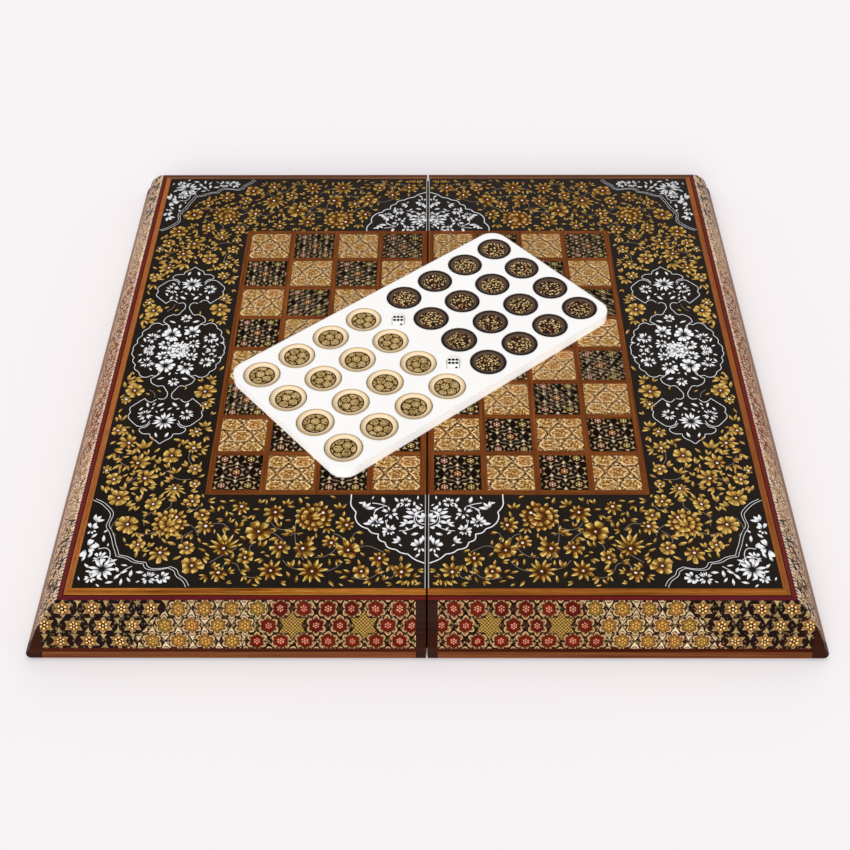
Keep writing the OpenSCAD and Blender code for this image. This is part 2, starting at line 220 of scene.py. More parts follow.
def cells(place, scale):
    """Distance to the nearest of many scattered points, and a random number for each point."""
    spots = place.tree.nodes.new("ShaderNodeTexVoronoi")
    feed(spots.inputs["Vector"], place)
    spots.inputs["Scale"].default_value = scale
    split = place.tree.nodes.new("ShaderNodeSeparateColor")
    place.tree.links.new(spots.outputs["Color"], split.inputs[0])
    return Wire(place.tree, spots.outputs["Distance"]), Wire(place.tree, split.outputs[0])


def open_group(name, inputs, outputs):
    """A new node group with number inputs and outputs, and the wires that come in."""
    tree = bpy.data.node_groups.new(name, "ShaderNodeTree")
    for label in inputs:
        tree.interface.new_socket(name=label, in_out="INPUT", socket_type="NodeSocketFloat")
    for label in outputs:
        tree.interface.new_socket(name=label, in_out="OUTPUT", socket_type="NodeSocketFloat")
    entry = tree.nodes.new("NodeGroupInput")
    tree.nodes.new("NodeGroupOutput")
    return tree, [Wire(tree, entry.outputs[label]) for label in inputs]


def close_group(tree, **results):
    """Links the results to the outputs of a group, by their labels."""
    exit_node = next(n for n in tree.nodes if n.type == "GROUP_OUTPUT")
    for label, value in results.items():
        feed(exit_node.inputs[label], value)


def placed(group, tree, **values):
    """Places a group in a tree, and gives the wires that come out of it."""
    box = tree.nodes.new("ShaderNodeGroup")
    box.node_tree = group
    for label, value in values.items():
        feed(box.inputs[label], value)
    outs = [Wire(tree, socket) for socket in box.outputs]
    return outs if len(outs) > 1 else outs[0]


def finish_of(name, roughness=0.4, metallic=0.0, specular=0.015):
    """A new material: its tree, its shader, and the place on the object in millimetres."""
    material = bpy.data.materials.new(name)
    material.use_nodes = True
    tree = material.node_tree
    shader = tree.nodes["Principled BSDF"]
    shader.inputs["Roughness"].default_value = roughness
    shader.inputs["Metallic"].default_value = metallic
    shader.inputs["Specular IOR Level"].default_value = specular
    where = tree.nodes.new("ShaderNodeTexCoord")
    scaled = tree.nodes.new("ShaderNodeVectorMath")
    scaled.operation = "SCALE"
    scaled.inputs["Scale"].default_value = 1000
    tree.links.new(where.outputs["Object"], scaled.inputs[0])
    split = tree.nodes.new("ShaderNodeSeparateXYZ")
    tree.links.new(scaled.outputs[0], split.inputs[0])
    return material, shader, [Wire(tree, socket) for socket in split.outputs]


def bump(shader, height, strength, depth_mm):
    """Gives a shader's surface a fine relief."""
    relief = height.tree.nodes.new("ShaderNodeBump")
    relief.inputs["Strength"].default_value = strength
    relief.inputs["Distance"].default_value = depth_mm / 1000
    feed(relief.inputs["Height"], height)
    height.tree.links.new(relief.outputs[0], shader.inputs["Normal"])


def wear(material, *names):
    """Gives a material to CAD nodes."""
    for name in names:
        nodes[name].material_slots[0].material = material


# Grain group: long streaks, short flecks and wide blotches in wood that runs along the first direction
grain, (along, across, deep) = open_group("wood_grain", ["Along", "Across", "Deep"],
                                          ["Streak", "Fleck", "Blotch"])
streak = cloud(vector(along * 0.012, across * 0.5, deep * 0.5), 1.0, 3.0, 0.6, 0.4)
fleck = cloud(vector(along * 0.1, across * 2.6, deep * 2.6), 1.0, 2.0, 0.6)
blotch = cloud(vector(along * 0.02, across * 0.05, deep * 0.05), 1.0, 2.0, 0.5)
close_group(grain, Streak=(streak - 0.5) * 2.2 + 0.5, Fleck=(fleck - 0.5) * 2 + 0.5,
            Blotch=(blotch - 0.5) * 2 + 0.5)

# Edge group: how far a place is along its edge of the board from the edge's middle, and how far in
half_board = round(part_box("right_wood_strips")[1][0] * 1000, 2)
edge_run, (east, north) = open_group("edge_run", ["X", "Y"], ["Along", "Inset", "Side"])
on_side = (abs(east) - abs(north)).over(0, 0.01)
close_group(edge_run, Along=on_side.either(east, north), Side=on_side,
            Inset=half_board - abs(east).math("MAXIMUM", abs(north)))

dark_wood, shader, (x, y, z) = finish_of("dark_wood", specular=0.04)
tree = x.tree
run, inset, _ = placed(edge_run, tree, X=x, Y=y)
streak, fleck, _ = placed(grain, tree, Along=run, Across=inset, Deep=z)
colour = streak.colour("#1c0903", "#36150a")
colour = (fleck.under(0.36, 0.2) * 0.4).colour(colour, "#190805")
# Painted highlight: the rails are lighter on a band low down, from about 2 to 14 mm up
painted_rim_highlight = z.between(2.0, 14.0, 8.0) * 0.25
colour = painted_rim_highlight.colour(colour, "#44200f")
feed(shader.inputs["Base Color"], colour)
feed(shader.inputs["Roughness"], fleck.either(0.5, 0.36))
bump(shader, fleck, 0.1, 0.05)
wear(dark_wood, "left_rails", "right_rails")

# Panels: each half is closed by a plain plywood panel under satin varnish, laid on its rails. The underside
# of the two is the playing field.
panel_wood, shader, (x, y, z) = finish_of("panel_wood")
streak, fleck, _ = placed(grain, x.tree, Along=y, Across=x, Deep=z)
colour = streak.colour("#8f6338", "#b98a55")
colour = (fleck.under(0.35, 0.2) * 0.4).colour(colour, "#6a4424")
feed(shader.inputs["Base Color"], colour)
feed(shader.inputs["Roughness"], fleck.either(0.52, 0.4))
bump(shader, fleck, 0.15, 0.1)
wear(panel_wood, "left_panel", "right_panel")

# Khatam: thin slices of glued rods in wood, bone and brass. Its flowers stand in rows, each row half a pitch
# beside the next, with a three-pointed star between each three flowers.
khatam, (u, v, pitch, row) = open_group("khatam_rows", ["U", "V", "Pitch", "Row"],
                                        ["X", "Y", "Star X", "Star Y", "Hue", "Tone"])
half_pitch = pitch * 0.5
minus_half = pitch * -0.5
minus_row = row * -1
near_u = u.math("WRAP", half_pitch, minus_half)
near_v = v.math("WRAP", row, minus_row)
next_u = (u - half_pitch).math("WRAP", half_pitch, minus_half)
next_v = (v - row).math("WRAP", row, minus_row)
nearer = ((next_u * next_u + next_v * next_v) - (near_u * near_u + near_v * near_v)).math("LESS_THAN", 0)
dx = nearer.either(near_u, next_u)
dy = nearer.either(near_v, next_v)
odds = khatam.nodes.new("ShaderNodeTexWhiteNoise")
odds.noise_dimensions = "2D"
feed(odds.inputs["Vector"], vector(((u - dx) / half_pitch).math("ROUND"), ((v - dy) / row).math("ROUND"), 0))
hues = khatam.nodes.new("ShaderNodeSeparateColor")
khatam.links.new(odds.outputs["Color"], hues.inputs[0])
fold_x = abs(dx)
fold_y = abs(dy)
top_y = fold_y - row * (2 / 3)
side_x = fold_x - half_pitch
side_y = fold_y - row * (1 / 3)
beside = ((side_x * side_x + side_y * side_y) - (fold_x * fold_x + top_y * top_y)).math("LESS_THAN", 0)
close_group(khatam, X=dx, Y=dy, Hue=Wire(khatam, hues.outputs[0]), Tone=Wire(khatam, hues.outputs[1]),
            **{"Star X": beside.either(fold_x, side_x), "Star Y": beside.either(top_y, side_y * -1)})

# Star group: how deep a place is inside a star with that many tips, of which one points along Y
star, (sx, sy, tips, outer, inner) = open_group("star_depth", ["X", "Y", "Tips", "Outer", "Inner"],
                                                ["Depth", "Radius", "Fold"])
radius = (sx * sx + sy * sy).math("SQRT")
slice_angle = tips.math("POWER", -1) * math.pi
fold = sx.math("ARCTAN2", sy).math("PINGPONG", slice_angle)
px = radius * fold.math("COSINE")
py = radius * fold.math("SINE")
valley_x = inner * slice_angle.math("COSINE") - outer
valley_y = inner * slice_angle.math("SINE")
side_length = (valley_x * valley_x + valley_y * valley_y).math("SQRT")
close_group(star, Depth=(valley_x * py - valley_y * (px - outer)) / side_length, Radius=radius, Fold=fold)

# Bead group: distance to the nearest bead of a ring of that many beads, of which one lies along Y
beads, (bx, by, count, ring) = open_group("bead_ring", ["X", "Y", "Count", "Ring"], ["Distance"])
radius = (bx * bx + by * by).math("SQRT")
fold = bx.math("ARCTAN2", by).math("PINGPONG", count.math("POWER", -1) * math.pi)
gap_x = radius * fold.math("COSINE") - ring
gap_y = radius * fold.math("SINE")
close_group(beads, Distance=(gap_x * gap_x + gap_y * gap_y).math("SQRT"))

# Khatam bands on the bevelled edges: gold stars on ebony at the corners, then pale flowers, then red flowers
# with larger brass stars in the middle of each length. They are thin sheets glued on in lengths by hand, so
# that no two pieces of a sheet lie quite alike.
khatam_band, shader, (x, y, z) = finish_of("khatam_band", specular=0.01)
tree = x.tree
bands_low, bands_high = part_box("left_khatam_bands")
foot_inset = round(half_board + bands_low[0] * 1000, 2)
foot_z, slope = 7.2, 18.0
rise = round(bands_high[2] * 1000, 2) - foot_z
chord = math.hypot(rise, slope)
run, inset, side = placed(edge_run, tree, X=x, Y=y)
away = abs(run)
up = (z - foot_z) * (rise / chord) + (inset - foot_inset) * (slope / chord) - chord / 2
slip = (cloud(vector(run, up, 0), 0.12) - 0.5) * 3
up = up + (cloud(vector(run, up, 9), 0.16) - 0.5) * 2
row = 10.4
rod = 0.22

# Corner sheet: each star has a gold heart with dark spokes, and a cream bead in each tip and in the middle
corner_pitch, corner_middle, corner_shift = 18.2, 199.5, 2.3
corner_lean, corner_end_front, corner_end_side = 0.948, 172, 168
corner_u = away - corner_middle + up.over(5, 0.1) * corner_shift + slip
dx, dy, star_x, star_y, hue, tone = placed(khatam, tree, U=corner_u, V=up, Pitch=corner_pitch, Row=row)
corner_end = side.either(corner_end_front, corner_end_side)
near_corner = (away - dx + (up - dy) * corner_lean).over(corner_end, 0.1)
depth, radius, fold = placed(star, tree, X=dx, Y=dy * 1.1, Tips=6, Outer=6.5, Inner=3.7)
heart, _, _ = placed(star, tree, X=dx, Y=dy * 1.1, Tips=6, Outer=4.4, Inner=3.1)
small, _, _ = placed(star, tree, X=star_x, Y=star_y, Tips=3, Outer=2.5, Inner=0.95)
ring = placed(beads, tree, X=dx, Y=dy, Count=6, Ring=2.1)
dark_ring = placed(beads, tree, X=dx, Y=dy, Count=6, Ring=1.2)
beading, bead_tone = cells(vector(run, up, 0), 0.6)
dull_bead = bead_tone.over(0.75, 0.1).colour("#5c5a3c", "#7c6444")
colour = tone.colour("#110906", "#1a0e12")
colour = (beading.under(0.4, 0.1) * bead_tone.over(0.5, 0.1) * 0.8).colour(colour, dull_bead)
colour = small.over(0, rod).colour(colour, hue.colour("#8c764c", "#b8a06c"))
colour = depth.over(0, rod).colour(colour, hue.colour("#9a8058", "#b89468"))
colour = heart.over(0, rod).colour(colour, hue.colour("#8e6620", "#a86c28"))
colour = (heart.between(-0.35, 0.05, rod) * depth.over(0, rod) * 0.6).colour(colour, "#4a2c10")
colour = (fold.over(0.42, 0.08) * radius.between(2.4, 4.4, 0.3) * 0.7).colour(colour, "#4a280c")
colour = radius.under(2.8, 0.3).colour(colour, "#6a3a12")
colour = dark_ring.under(0.6, rod).colour(colour, "#2c0f06")
corner_stars = ring.math("MINIMUM", radius).under(0.6, rod).colour(colour, "#f4d694")

# Pale sheet: six petals with a bone rim round a brown ring, on a ground of small chips with cream stars
pale_pitch, pale_middle = 16.4, 145
pale_u = away - pale_middle + slip
dx, dy, star_x, star_y, hue, tone = placed(khatam, tree, U=pale_u, V=up, Pitch=pale_pitch, Row=row)
_, radius, fold = placed(star, tree, X=dx, Y=dy, Tips=6, Outer=6, Inner=5)
small, _, _ = placed(star, tree, X=star_x, Y=star_y, Tips=3, Outer=3.0, Inner=1.5)
ring = placed(beads, tree, X=dx, Y=dy, Count=6, Ring=2.0)
lobes = (fold * 6).math("COSINE")
chips = beading.under(0.5, 0.16).colour("#2a1a10", bead_tone.colour("#846a40", "#bfa074"))
colour = small.over(-0.5, rod).colour(chips, "#1c110a")
colour = small.over(0, rod).colour(colour, tone.colour("#a68c64", "#e6d2a8"))
colour = (radius - lobes * 0.9).under(6.1, rod).colour(colour, "#1a100a")
colour = (radius - lobes * 0.8).under(5.6, rod).colour(colour, tone.colour("#8a6c3e", "#926844"))
colour = (radius - lobes * 0.8).between(4.7, 5.5, 0.4).colour(colour, tone.colour("#ceb486", "#cea284"))
valleys = fold.over(0.42, 0.1) * radius.over(3.4, 0.4) * radius.under(6.1, rod)
colour = (valleys * 0.9).colour(colour, "#1c110a")
colour = (radius - lobes * 0.6).under(4.3, rod).colour(colour, "#3a200c")
colour = (radius - lobes * 0.6).under(3.9, rod).colour(colour, hue.colour("#7e6626", "#98642a"))
colour = (radius.between(1.0, 1.7, rod) * lobes.over(0, 0.6)).colour(colour, "#331408")
pale_flowers = ring.math("MINIMUM", radius).under(0.55, rod).colour(colour, "#e0a65e")

# Red sheet: petals round a red eye with rosy beads, and a large brass star over every third flower
red_pitch, red_middle = 14.7, 82.8
red_lean, red_end_front, red_end_side = 0.77, 104.6, 112
red_u = away - red_middle + slip
dx, dy, star_x, star_y, hue, tone = placed(khatam, tree, U=red_u, V=up, Pitch=red_pitch, Row=row)
red_end = side.either(red_end_front, red_end_side)
near_middle = (away - dx + (up - dy) * red_lean).under(red_end, 0.1)
_, radius, fold = placed(star, tree, X=dx, Y=dy * 0.95, Tips=6, Outer=6, Inner=5)
small, _, _ = placed(star, tree, X=star_x, Y=star_y, Tips=3, Outer=2.4, Inner=1.2)
ring = placed(beads, tree, X=dx, Y=dy, Count=6, Ring=1.5)
lobes = (fold * 6).math("COSINE")
colour = small.over(-0.3, rod).colour(tone.under(0.5, 0.2).colour(chips, "#3a2616"), "#100a07")
colour = (radius - lobes * 0.8).under(5.9, rod).colour(colour, "#160d08")
colour = (radius - lobes * 0.8).under(5.5, rod).colour(colour, hue.colour("#80603c", "#825038"))
colour = (radius - lobes * 0.8).between(4.8, 5.6, 0.3).colour(colour, hue.colour("#c6a674", "#be8864"))
valleys = fold.over(0.41, 0.1) * radius.over(3.4, 0.4) * radius.under(6.0, rod)
colour = (valleys * 0.9).colour(colour, "#180e09")
colour = (radius - lobes * 0.45).under(4.1, rod).colour(colour, "#2a0806")
colour = (radius - lobes * 0.45).under(3.6, rod).colour(colour, tone.colour("#540c06", "#701a0c"))
colour = ring.math("MINIMUM", radius).under(0.5, rod).colour(colour, hue.colour("#c8826c", "#d8a684"))
star_u = (away - red_middle).math("WRAP", 1.5 * red_pitch, -1.5 * red_pitch)
depth, _, _ = placed(star, tree, X=star_u, Y=up, Tips=6, Outer=9.4, Inner=5.5)
depth = depth - away.under(22, 0.1) * 20
mesh = (star_u * 2.9).math("SINE") * (up * 2.9).math("SINE")
colour = depth.over(-0.6, rod).colour(colour, "#1e120a")
red_flowers = depth.over(0, rod).colour(colour, mesh.over(0.0, 0.35).colour("#54340e", "#ae8e4a"))

colour = near_middle.colour(pale_flowers, red_flowers)
colour = near_corner.colour(colour, corner_stars)
grit = cloud(vector(run, up, 0), 0.9, 1.0)
colour = (grit.under(0.42, 0.12) * 0.3).colour(colour, "#1c110a")
dusk = cloud(vector(x, y, z), 0.03)
colour = (dusk.under(0.45, 0.3) * 0.12).colour(colour, "#5a3018")
# On the long sides the band is painted lighter and rosier, as painted light, redder towards the middle and
# darker towards the foot, with pale specks as painted glints, dark specks of single rods and bright dots
# along the top edge
specks, speck_tone = cells(vector(up * 0.5, y, 7), 0.8)
light = side * colour.over(0.14, 0.1)
colour = (side * away.under(115, 20) * 0.3).colour(colour, "#a04a22")
colour = (side * up.under(4, 16) * 0.3).colour(colour, "#7c3a1c")
colour = (light * 0.66).colour(colour, "#fcd0a6")
colour = (side * 0.06).colour(colour, "#eeb48a")
colour = (side * specks.under(0.42, 0.12) * speck_tone.over(0.6, 0.1) * 0.65).colour(colour, "#fff2e2")
colour = (side * specks.under(0.48, 0.12) * speck_tone.under(0.3, 0.1) * 0.6).colour(colour, "#3c1408")
colour = (side * up.over(13, 0.6) * (y * 2.4).math("SINE").over(0.1, 0.8) * 0.7).colour(colour, "#fff2e0")
feed(shader.inputs["Base Color"], colour)
feed(shader.inputs["Roughness"], dusk.either(0.28, 0.42))
wear(khatam_band, "left_khatam_bands", "right_khatam_bands")

# Wood lines of the edge: a streaky orange line at the top of the bevel and a brown strip at its foot, both
# glued on in mitred lengths, under gloss varnish. On the long sides both are painted lighter, as painted
# light, and along the back edge the orange is duller and greyer, as painted shade.
strip_wood, shader, (x, y, z) = finish_of("strip_wood", specular=0.02)
tree = x.tree
half_way_up = 20
run, inset, side = placed(edge_run, tree, X=x, Y=y)
streak, fleck, blotch = placed(grain, tree, Along=run, Across=inset + z, Deep=z)
orange = streak.colour("#542606", "#cc8834")
# Painted light: the orange is lighter and pinker on the long sides
orange = (side * 0.65).colour(orange, "#b0663c")
orange = (x.over(0, 1) * 0.4).colour(orange, "#5c2c0c")
# Painted shade: the orange is duller and greyer along the back edge
orange = (side.under(0.5, 0.1) * y.over(150, 20) * 0.75).colour(orange, "#63402a")
orange = (blotch.over(0.45, 0.5) * 0.5).colour(orange, "#a45c26")
orange = (fleck.under(0.36, 0.2) * 0.55).colour(orange, "#6a320c")
orange = inset.under(25.2, 0.3).colour(orange, "#120807")
foot = streak.colour("#4c2410", "#804a26")
# Painted light: the foot strip is lighter and greyer on the long sides
foot = (side * 0.8).colour(foot, "#9c785a")
foot = (fleck.under(0.36, 0.2) * 0.4).colour(foot, "#5c2c14")
colour = z.over(half_way_up, 1).colour(foot, orange)
feed(shader.inputs["Base Color"], colour)
feed(shader.inputs["Roughness"], fleck.either(0.42, 0.3))
bump(shader, streak, 0.1, 0.1)
wear(strip_wood, "left_wood_strips", "right_wood_strips")

# Crimson lines: thin dyed veneers above and below the khatam bands, glossier than the wood beside them. They
# are glued on in mitred lengths too. On the long sides they are painted lighter and browner, as painted
# light, near the front corners purpler, as a painted reflection, and along the back edge greyer, as painted
# shade.
crimson_wood, shader, (x, y, z) = finish_of("crimson_wood", specular=0.02)
tree = x.tree
run, inset, side = placed(edge_run, tree, X=x, Y=y)
streak, fleck, blotch = placed(grain, tree, Along=run, Across=inset, Deep=z)
upper = streak.colour("#380806", "#78201a")
upper = (blotch.over(0.5, 0.4) * 0.5).colour(upper, "#5c1e24")
# Painted reflection: purpler near the front corners
upper = (abs(x).over(150, 120) * y.under(-140, 120) * 0.45).colour(upper, "#641e30")
# Painted light: lighter and browner on the long sides
upper = (side * 0.5).colour(upper, "#6e2e22")
# Painted shade: duller and greyer along the back edge
upper = (side.under(0.5, 0.1) * y.over(150, 20) * 0.85).colour(upper, "#5e4234")
lower = streak.colour("#2c0a04", "#481808")
# Painted light: the lower line is lighter on the long sides
lower = (side * 0.8).colour(lower, "#946a4a")
colour = z.over(half_way_up, 1).colour(lower, upper)
feed(shader.inputs["Base Color"], colour)
feed(shader.inputs["Roughness"], fleck.either(0.36, 0.28))
wear(crimson_wood, "left_crimson_lines", "right_crimson_lines")

# Lacquered border: veneer under many coats of near-black lacquer, rubbed to a soft gloss. A pale line along
# each seam edge is a painted highlight.
black_lacquer, shader, (x, y, z) = finish_of("black_lacquer", specular=0.03)
haze = cloud(vector(x, y, z), 0.018, 3.0)
colour = haze.colour("#19130f", "#27201b")
# Painted highlight: a pale line along each seam edge
colour = (abs(x).between(0.8, 1.35, 0.1) * 0.85).colour(colour, "#c8c4be")
feed(shader.inputs["Base Color"], colour)
feed(shader.inputs["Roughness"], haze.either(0.16, 0.3))
bump(shader, cloud(vector(x, y, z), 0.25, 2.0), 0.05, 0.05)
wear(black_lacquer, "left_lacquer_border", "right_lacquer_border")

# Seam shade: a thin dark strip that rides on the left half fills the gap all along the seam, as painted
# shade, so that the seam shows dark. Its ends follow the bevel, and it stops above the hinge knuckles and
# just under the lacquer.
shade_strip_size = (0.00108, 0.486, 0.0268)
shade_strip_middle = (-0.00006, 0, 0.0196)
shade_strip_top_share = 0.9
shade_strip_end_length, shade_strip_end_drop = 0.04, -0.0034
bpy.ops.object.select_all(action="DESELECT")
bpy.ops.mesh.primitive_cube_add(size=1, location=(0, 0, 0))
strip = bpy.context.object
strip.name = "seam_shade_strip"
bpy.ops.object.mode_set(mode="EDIT")
bpy.ops.mesh.select_all(action="SELECT")
bpy.ops.transform.resize(value=shade_strip_size, center_override=(0, 0, 0))
bpy.ops.transform.translate(value=shade_strip_middle)
bpy.ops.mesh.select_all(action="DESELECT")
bpy.ops.object.mode_set(mode="OBJECT")
for corner in strip.data.vertices:
    corner.select = corner.co.z > shade_strip_middle[2]
bpy.ops.object.mode_set(mode="EDIT")
bpy.ops.transform.resize(value=(1, shade_strip_top_share, 1), center_override=(0, 0, 0))
bpy.ops.mesh.select_all(action="SELECT")
bpy.ops.mesh.subdivide(number_cuts=2)
bpy.ops.mesh.select_all(action="DESELECT")
bpy.ops.object.mode_set(mode="OBJECT")
lower_third = shade_strip_middle[2] - shade_strip_size[2] / 3
for corner in strip.data.vertices:
    corner.select = corner.co.z < lower_third and abs(corner.co.y) > shade_strip_size[1] / 2 - shade_strip_end_length
bpy.ops.object.mode_set(mode="EDIT")
bpy.ops.transform.translate(value=(0, 0, shade_strip_end_drop))
bpy.ops.object.mode_set(mode="OBJECT")
painted_seam_shade, shader, (x, y, z) = finish_of("painted_seam_shade")
shade_noise = cloud(vector(x, y * 0.6, z), 2.2, 3.0)
feed(shader.inputs["Base Color"], shade_noise.colour("#080605", "#171110"))
feed(shader.inputs["Roughness"], shade_noise.either(0.82, 0.98))
bump(shader, shade_noise, 0.3, 0.1)
strip.data.materials.append(painted_seam_shade)
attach(strip, "left_half")

# Painting on the lacquer: gold flowers, buds and leaves on thin vines, laid on in thick paint that stands a
# hair above the gloss, with brown grounds under the flowers. One quarter of the board is painted, in
# millimetres from the board's middle, and the other three are its mirror images.
lacquer_low, lacquer_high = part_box("left_lacquer_border")
chess_low, chess_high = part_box("left_chess_bars")
top = round(lacquer_high[2], 5)
paint_height, paint_bite = 0.00012, 0.00002
lacquer_edge = round(lacquer_low[0] * 1000 + 1, 2)
seam_edge = round(lacquer_high[0] * 1000 - 0.3, 2)
chess_side = round(chess_low[0] * 1000 - 0.9, 2)
chess_front = round(chess_low[1] * 1000 - 0.75, 2)
chance = random.Random(11)
gold, pearls, vines, white, under = (bmesh.new() for _ in range(5))
# The square millimetres that carry paint already
painted = set()


def paint_shape(name, sides, steps):
    """One stroke of paint, 1 long from its base along Y, shaped by moving the rows that the steps name."""
    bpy.ops.object.select_all(action="DESELECT")
    bpy.ops.mesh.primitive_circle_add(vertices=sides, radius=0.5, fill_type="NGON", location=(0, 0, 0))
    stroke = bpy.context.object
    stroke.name = name
    bpy.ops.object.mode_set(mode="EDIT")
    bpy.ops.transform.translate(value=(0, 0.5, 0))
    for low, high, wide, move in steps:
        bpy.ops.mesh.select_all(action="DESELECT")
        bpy.ops.object.mode_set(mode="OBJECT")
        for corner in stroke.data.vertices:
            corner.select = low <= corner.co.y <= high
        bpy.ops.object.mode_set(mode="EDIT")
        bpy.ops.transform.resize(value=(wide, 1, 1), center_override=(0, 0, 0))
        bpy.ops.transform.translate(value=(0, move, 0))
    bpy.ops.mesh.select_all(action="SELECT")
    bpy.ops.mesh.extrude_region_move(TRANSFORM_OT_translate={"value": (0, 0, 0.6)})
    bpy.ops.mesh.inset(thickness=0.08, depth=0.4)
    bpy.ops.mesh.select_all(action="SELECT")
    bpy.ops.mesh.normals_make_consistent(inside=False)
    bpy.ops.object.mode_set(mode="OBJECT")
    mesh = stroke.data
    length = mesh.uv_layers.new(name="stroke")
    for loop in mesh.loops:
        length.data[loop.index].uv = mesh.vertices[loop.vertex_index].co.xy
    bpy.data.objects.remove(stroke)
    return mesh


broad = paint_shape("broad_petal", 10, ((-0.1, 0.1, 0.5, 0), (0.1, 0.4, 0.7, 0), (0.6, 0.92, 1.12, 0.03),
                                        (0.95, 1.1, 1, -0.1)))
pointed = paint_shape("pointed_petal", 8, ((-0.1, 0.3, 0.6, 0), (0.7, 0.95, 0.75, -0.05)))
almond = paint_shape("leaf", 8, ((-0.1, 0.3, 0.8, 0), (0.7, 0.95, 0.7, -0.04)))
drop = paint_shape("bud", 12, ((0.6, 0.8, 0.85, 0), (0.85, 0.99, 0.55, 0.0), (0.99, 1.1, 1, 0.08)))
bead = paint_shape("pearl", 8, ())


def step_from(x, y, turn, reach):
    """The place that far away from a place, in a direction that turns left from +Y, in degrees."""
    return x - math.sin(math.radians(turn)) * reach, y + math.cos(math.radians(turn)) * reach


def lay(sheet, shape, x, y, turn, length, width, start=0.0):
    """Lays one stroke on a sheet of paint. It starts that far from the place, and turns left from +Y. As by
    hand, no two strokes come out alike, and none runs over the edge of the lacquer."""
    turn += chance.uniform(-6, 6)
    length *= chance.uniform(0.9, 1.07)
    width *= chance.uniform(0.82, 1.12)
    tip_x, tip_y = step_from(x, y, turn, length)
    on_chess_field = tip_x > chess_side and tip_y > chess_front
    if on_chess_field or min(tip_x, tip_y) < lacquer_edge or tip_x > seam_edge:
        return
    for part in (0.1, 0.5, 0.9):
        at_x, at_y = step_from(x, y, turn, start + part * (length - start))
        painted.update((round(at_x + i), round(at_y + j)) for i in (-1, 0, 1) for j in (-1, 0, 1))
    height = paint_height * chance.uniform(0.8, 1.2)
    stroke = shape.copy()
    stroke.transform(Matrix.Translation((x / 1000, y / 1000, top - paint_bite))
                     @ Matrix.Rotation(math.radians(turn), 4, "Z")
                     @ Matrix.Translation((0, start / 1000, 0))
                     @ Matrix.Diagonal((width / 1000, (length - start) / 1000, height, 1)))
    sheet.from_mesh(stroke)
    bpy.data.meshes.remove(stroke)


def pearl(x, y, size=1.7):
    """A white dot in the eye of a gold flower."""
    lay(pearls, bead, x, y - size / 2, 0, size, size)


def underpaint(x, y, r):
    """A flat brown ground under a gold flower, which shows between its petals."""
    for i in range(5):
        lay(under, broad, x, y, 72 * i, 0.82 * r, 0.8 * r)


def blossom(sheet, x, y, r, count=8, turn=0):
    """A flower seen from above: broad petals round a dark eye. Small white ones have split petals."""
    if sheet is gold:
        underpaint(x, y, r)
    for i in range(count):
        middle = turn + 360 * i / count + chance.uniform(-9, 9)
        reach = r * chance.uniform(0.84, 1.1)
        if sheet is gold or r > 7:
            lay(sheet, broad, x, y, middle, reach, 4.3 * r / count, 0.24 * r)
            continue
        for side in (-1, 1):
            if chance.random() > 0.1:
                lay(sheet, pointed, x, y, middle + side * 70 / count, reach * chance.uniform(0.8, 1),
                    1.4 * r / count, 0.25 * r)
    if sheet is gold:
        pearl(x, y)


def daisy(sheet, x, y, r, count=10, turn=0):
    """A flower with long pointed petals, every second one shorter."""
    if sheet is gold:
        underpaint(x, y, 0.8 * r)
    for i in range(count):
        lay(sheet, pointed, x, y, turn + 360 * i / count, r * (1 - 0.12 * (i % 2)),
            2.9 * r / count, 0.2 * r)
    if sheet is gold:
        pearl(x, y)


def peony(sheet, x, y, r, turn=0):
    """A full flower: a rim of short petals, a ring of broad ones that opens to one side, and a bud."""
    if sheet is gold:
        underpaint(x, y, r)
    for i in range(17):
        lay(sheet, pointed, x, y, turn + 360 / 17 * i, r * (1 - 0.08 * (i % 2)), 0.27 * r, 0.63 * r)
    for i in range(8):
        lay(sheet, broad, x, y, turn + 40 + 40 * i, 0.61 * r, 0.36 * r, 0.27 * r)
    for spread, reach in ((-26, 0.46), (26, 0.46), (0, 0.6)):
        lay(sheet, drop, *step_from(x, y, turn, -0.2 * r), turn + spread, reach * r, 0.22 * r)
    if sheet is gold:
        pearl(*step_from(x, y, turn, 0.5 * r), 2)


def side_flower(sheet, x, y, r, turn=0):
    """A flower seen from the side: five petals that open one way, and three narrow ones below."""
    if sheet is gold:
        underpaint(x, y, 0.7 * r)
    for i, (spread, reach) in enumerate(((-78, 0.8), (-40, 0.94), (0, 1), (40, 0.94), (78, 0.8))):
        lay(sheet, broad if i % 2 == 0 else pointed, x, y, turn + spread, r * reach, 0.36 * r, 0.2 * r)
    for spread in (-140, 140, 180):
        lay(sheet, pointed, x, y, turn + spread, 0.62 * r, 0.22 * r, 0.2 * r)
    if sheet is gold:
        pearl(x, y, 2)


def lotus(sheet, x, y, r, turn=0):
    """A tall flower: pointed petals rise on both sides of a bud, over a collar of short ones."""
    if sheet is gold:
        underpaint(x, y, 0.6 * r)
    for spread, reach, wide in ((28, 0.98, 0.19), (52, 0.86, 0.17), (80, 0.66, 0.17), (118, 0.5, 0.15),
                                (150, 0.46, 0.14)):
        for side in (-1, 1):
            lay(sheet, pointed, x, y, turn + side * spread, r * reach, wide * r, 0.14 * r)
    lay(sheet, drop, x, y, turn, 0.8 * r, 0.3 * r, 0.28 * r)
    for side in (-1, 1):
        lay(sheet, pointed, x, y, turn + side * 13, 0.42 * r, 0.14 * r, 0.16 * r)
    if sheet is gold:
        pearl(x, y, 2.2)


def leaves(sheet, *places):
    """Single leaves, each given by its middle, its length and its turn."""
    for x, y, length, turn in places:
        lay(sheet, almond, *step_from(x, y, turn, -length / 2), turn, length, 0.4 * length)


def spray(sheet, x, y, length, turn, count=3):
    """Leaves that fan out from one point."""
    for i in range(count):
        lay(sheet, almond, x, y, turn + (i - (count - 1) / 2) * 42, length, 0.36 * length, 0.1 * length)


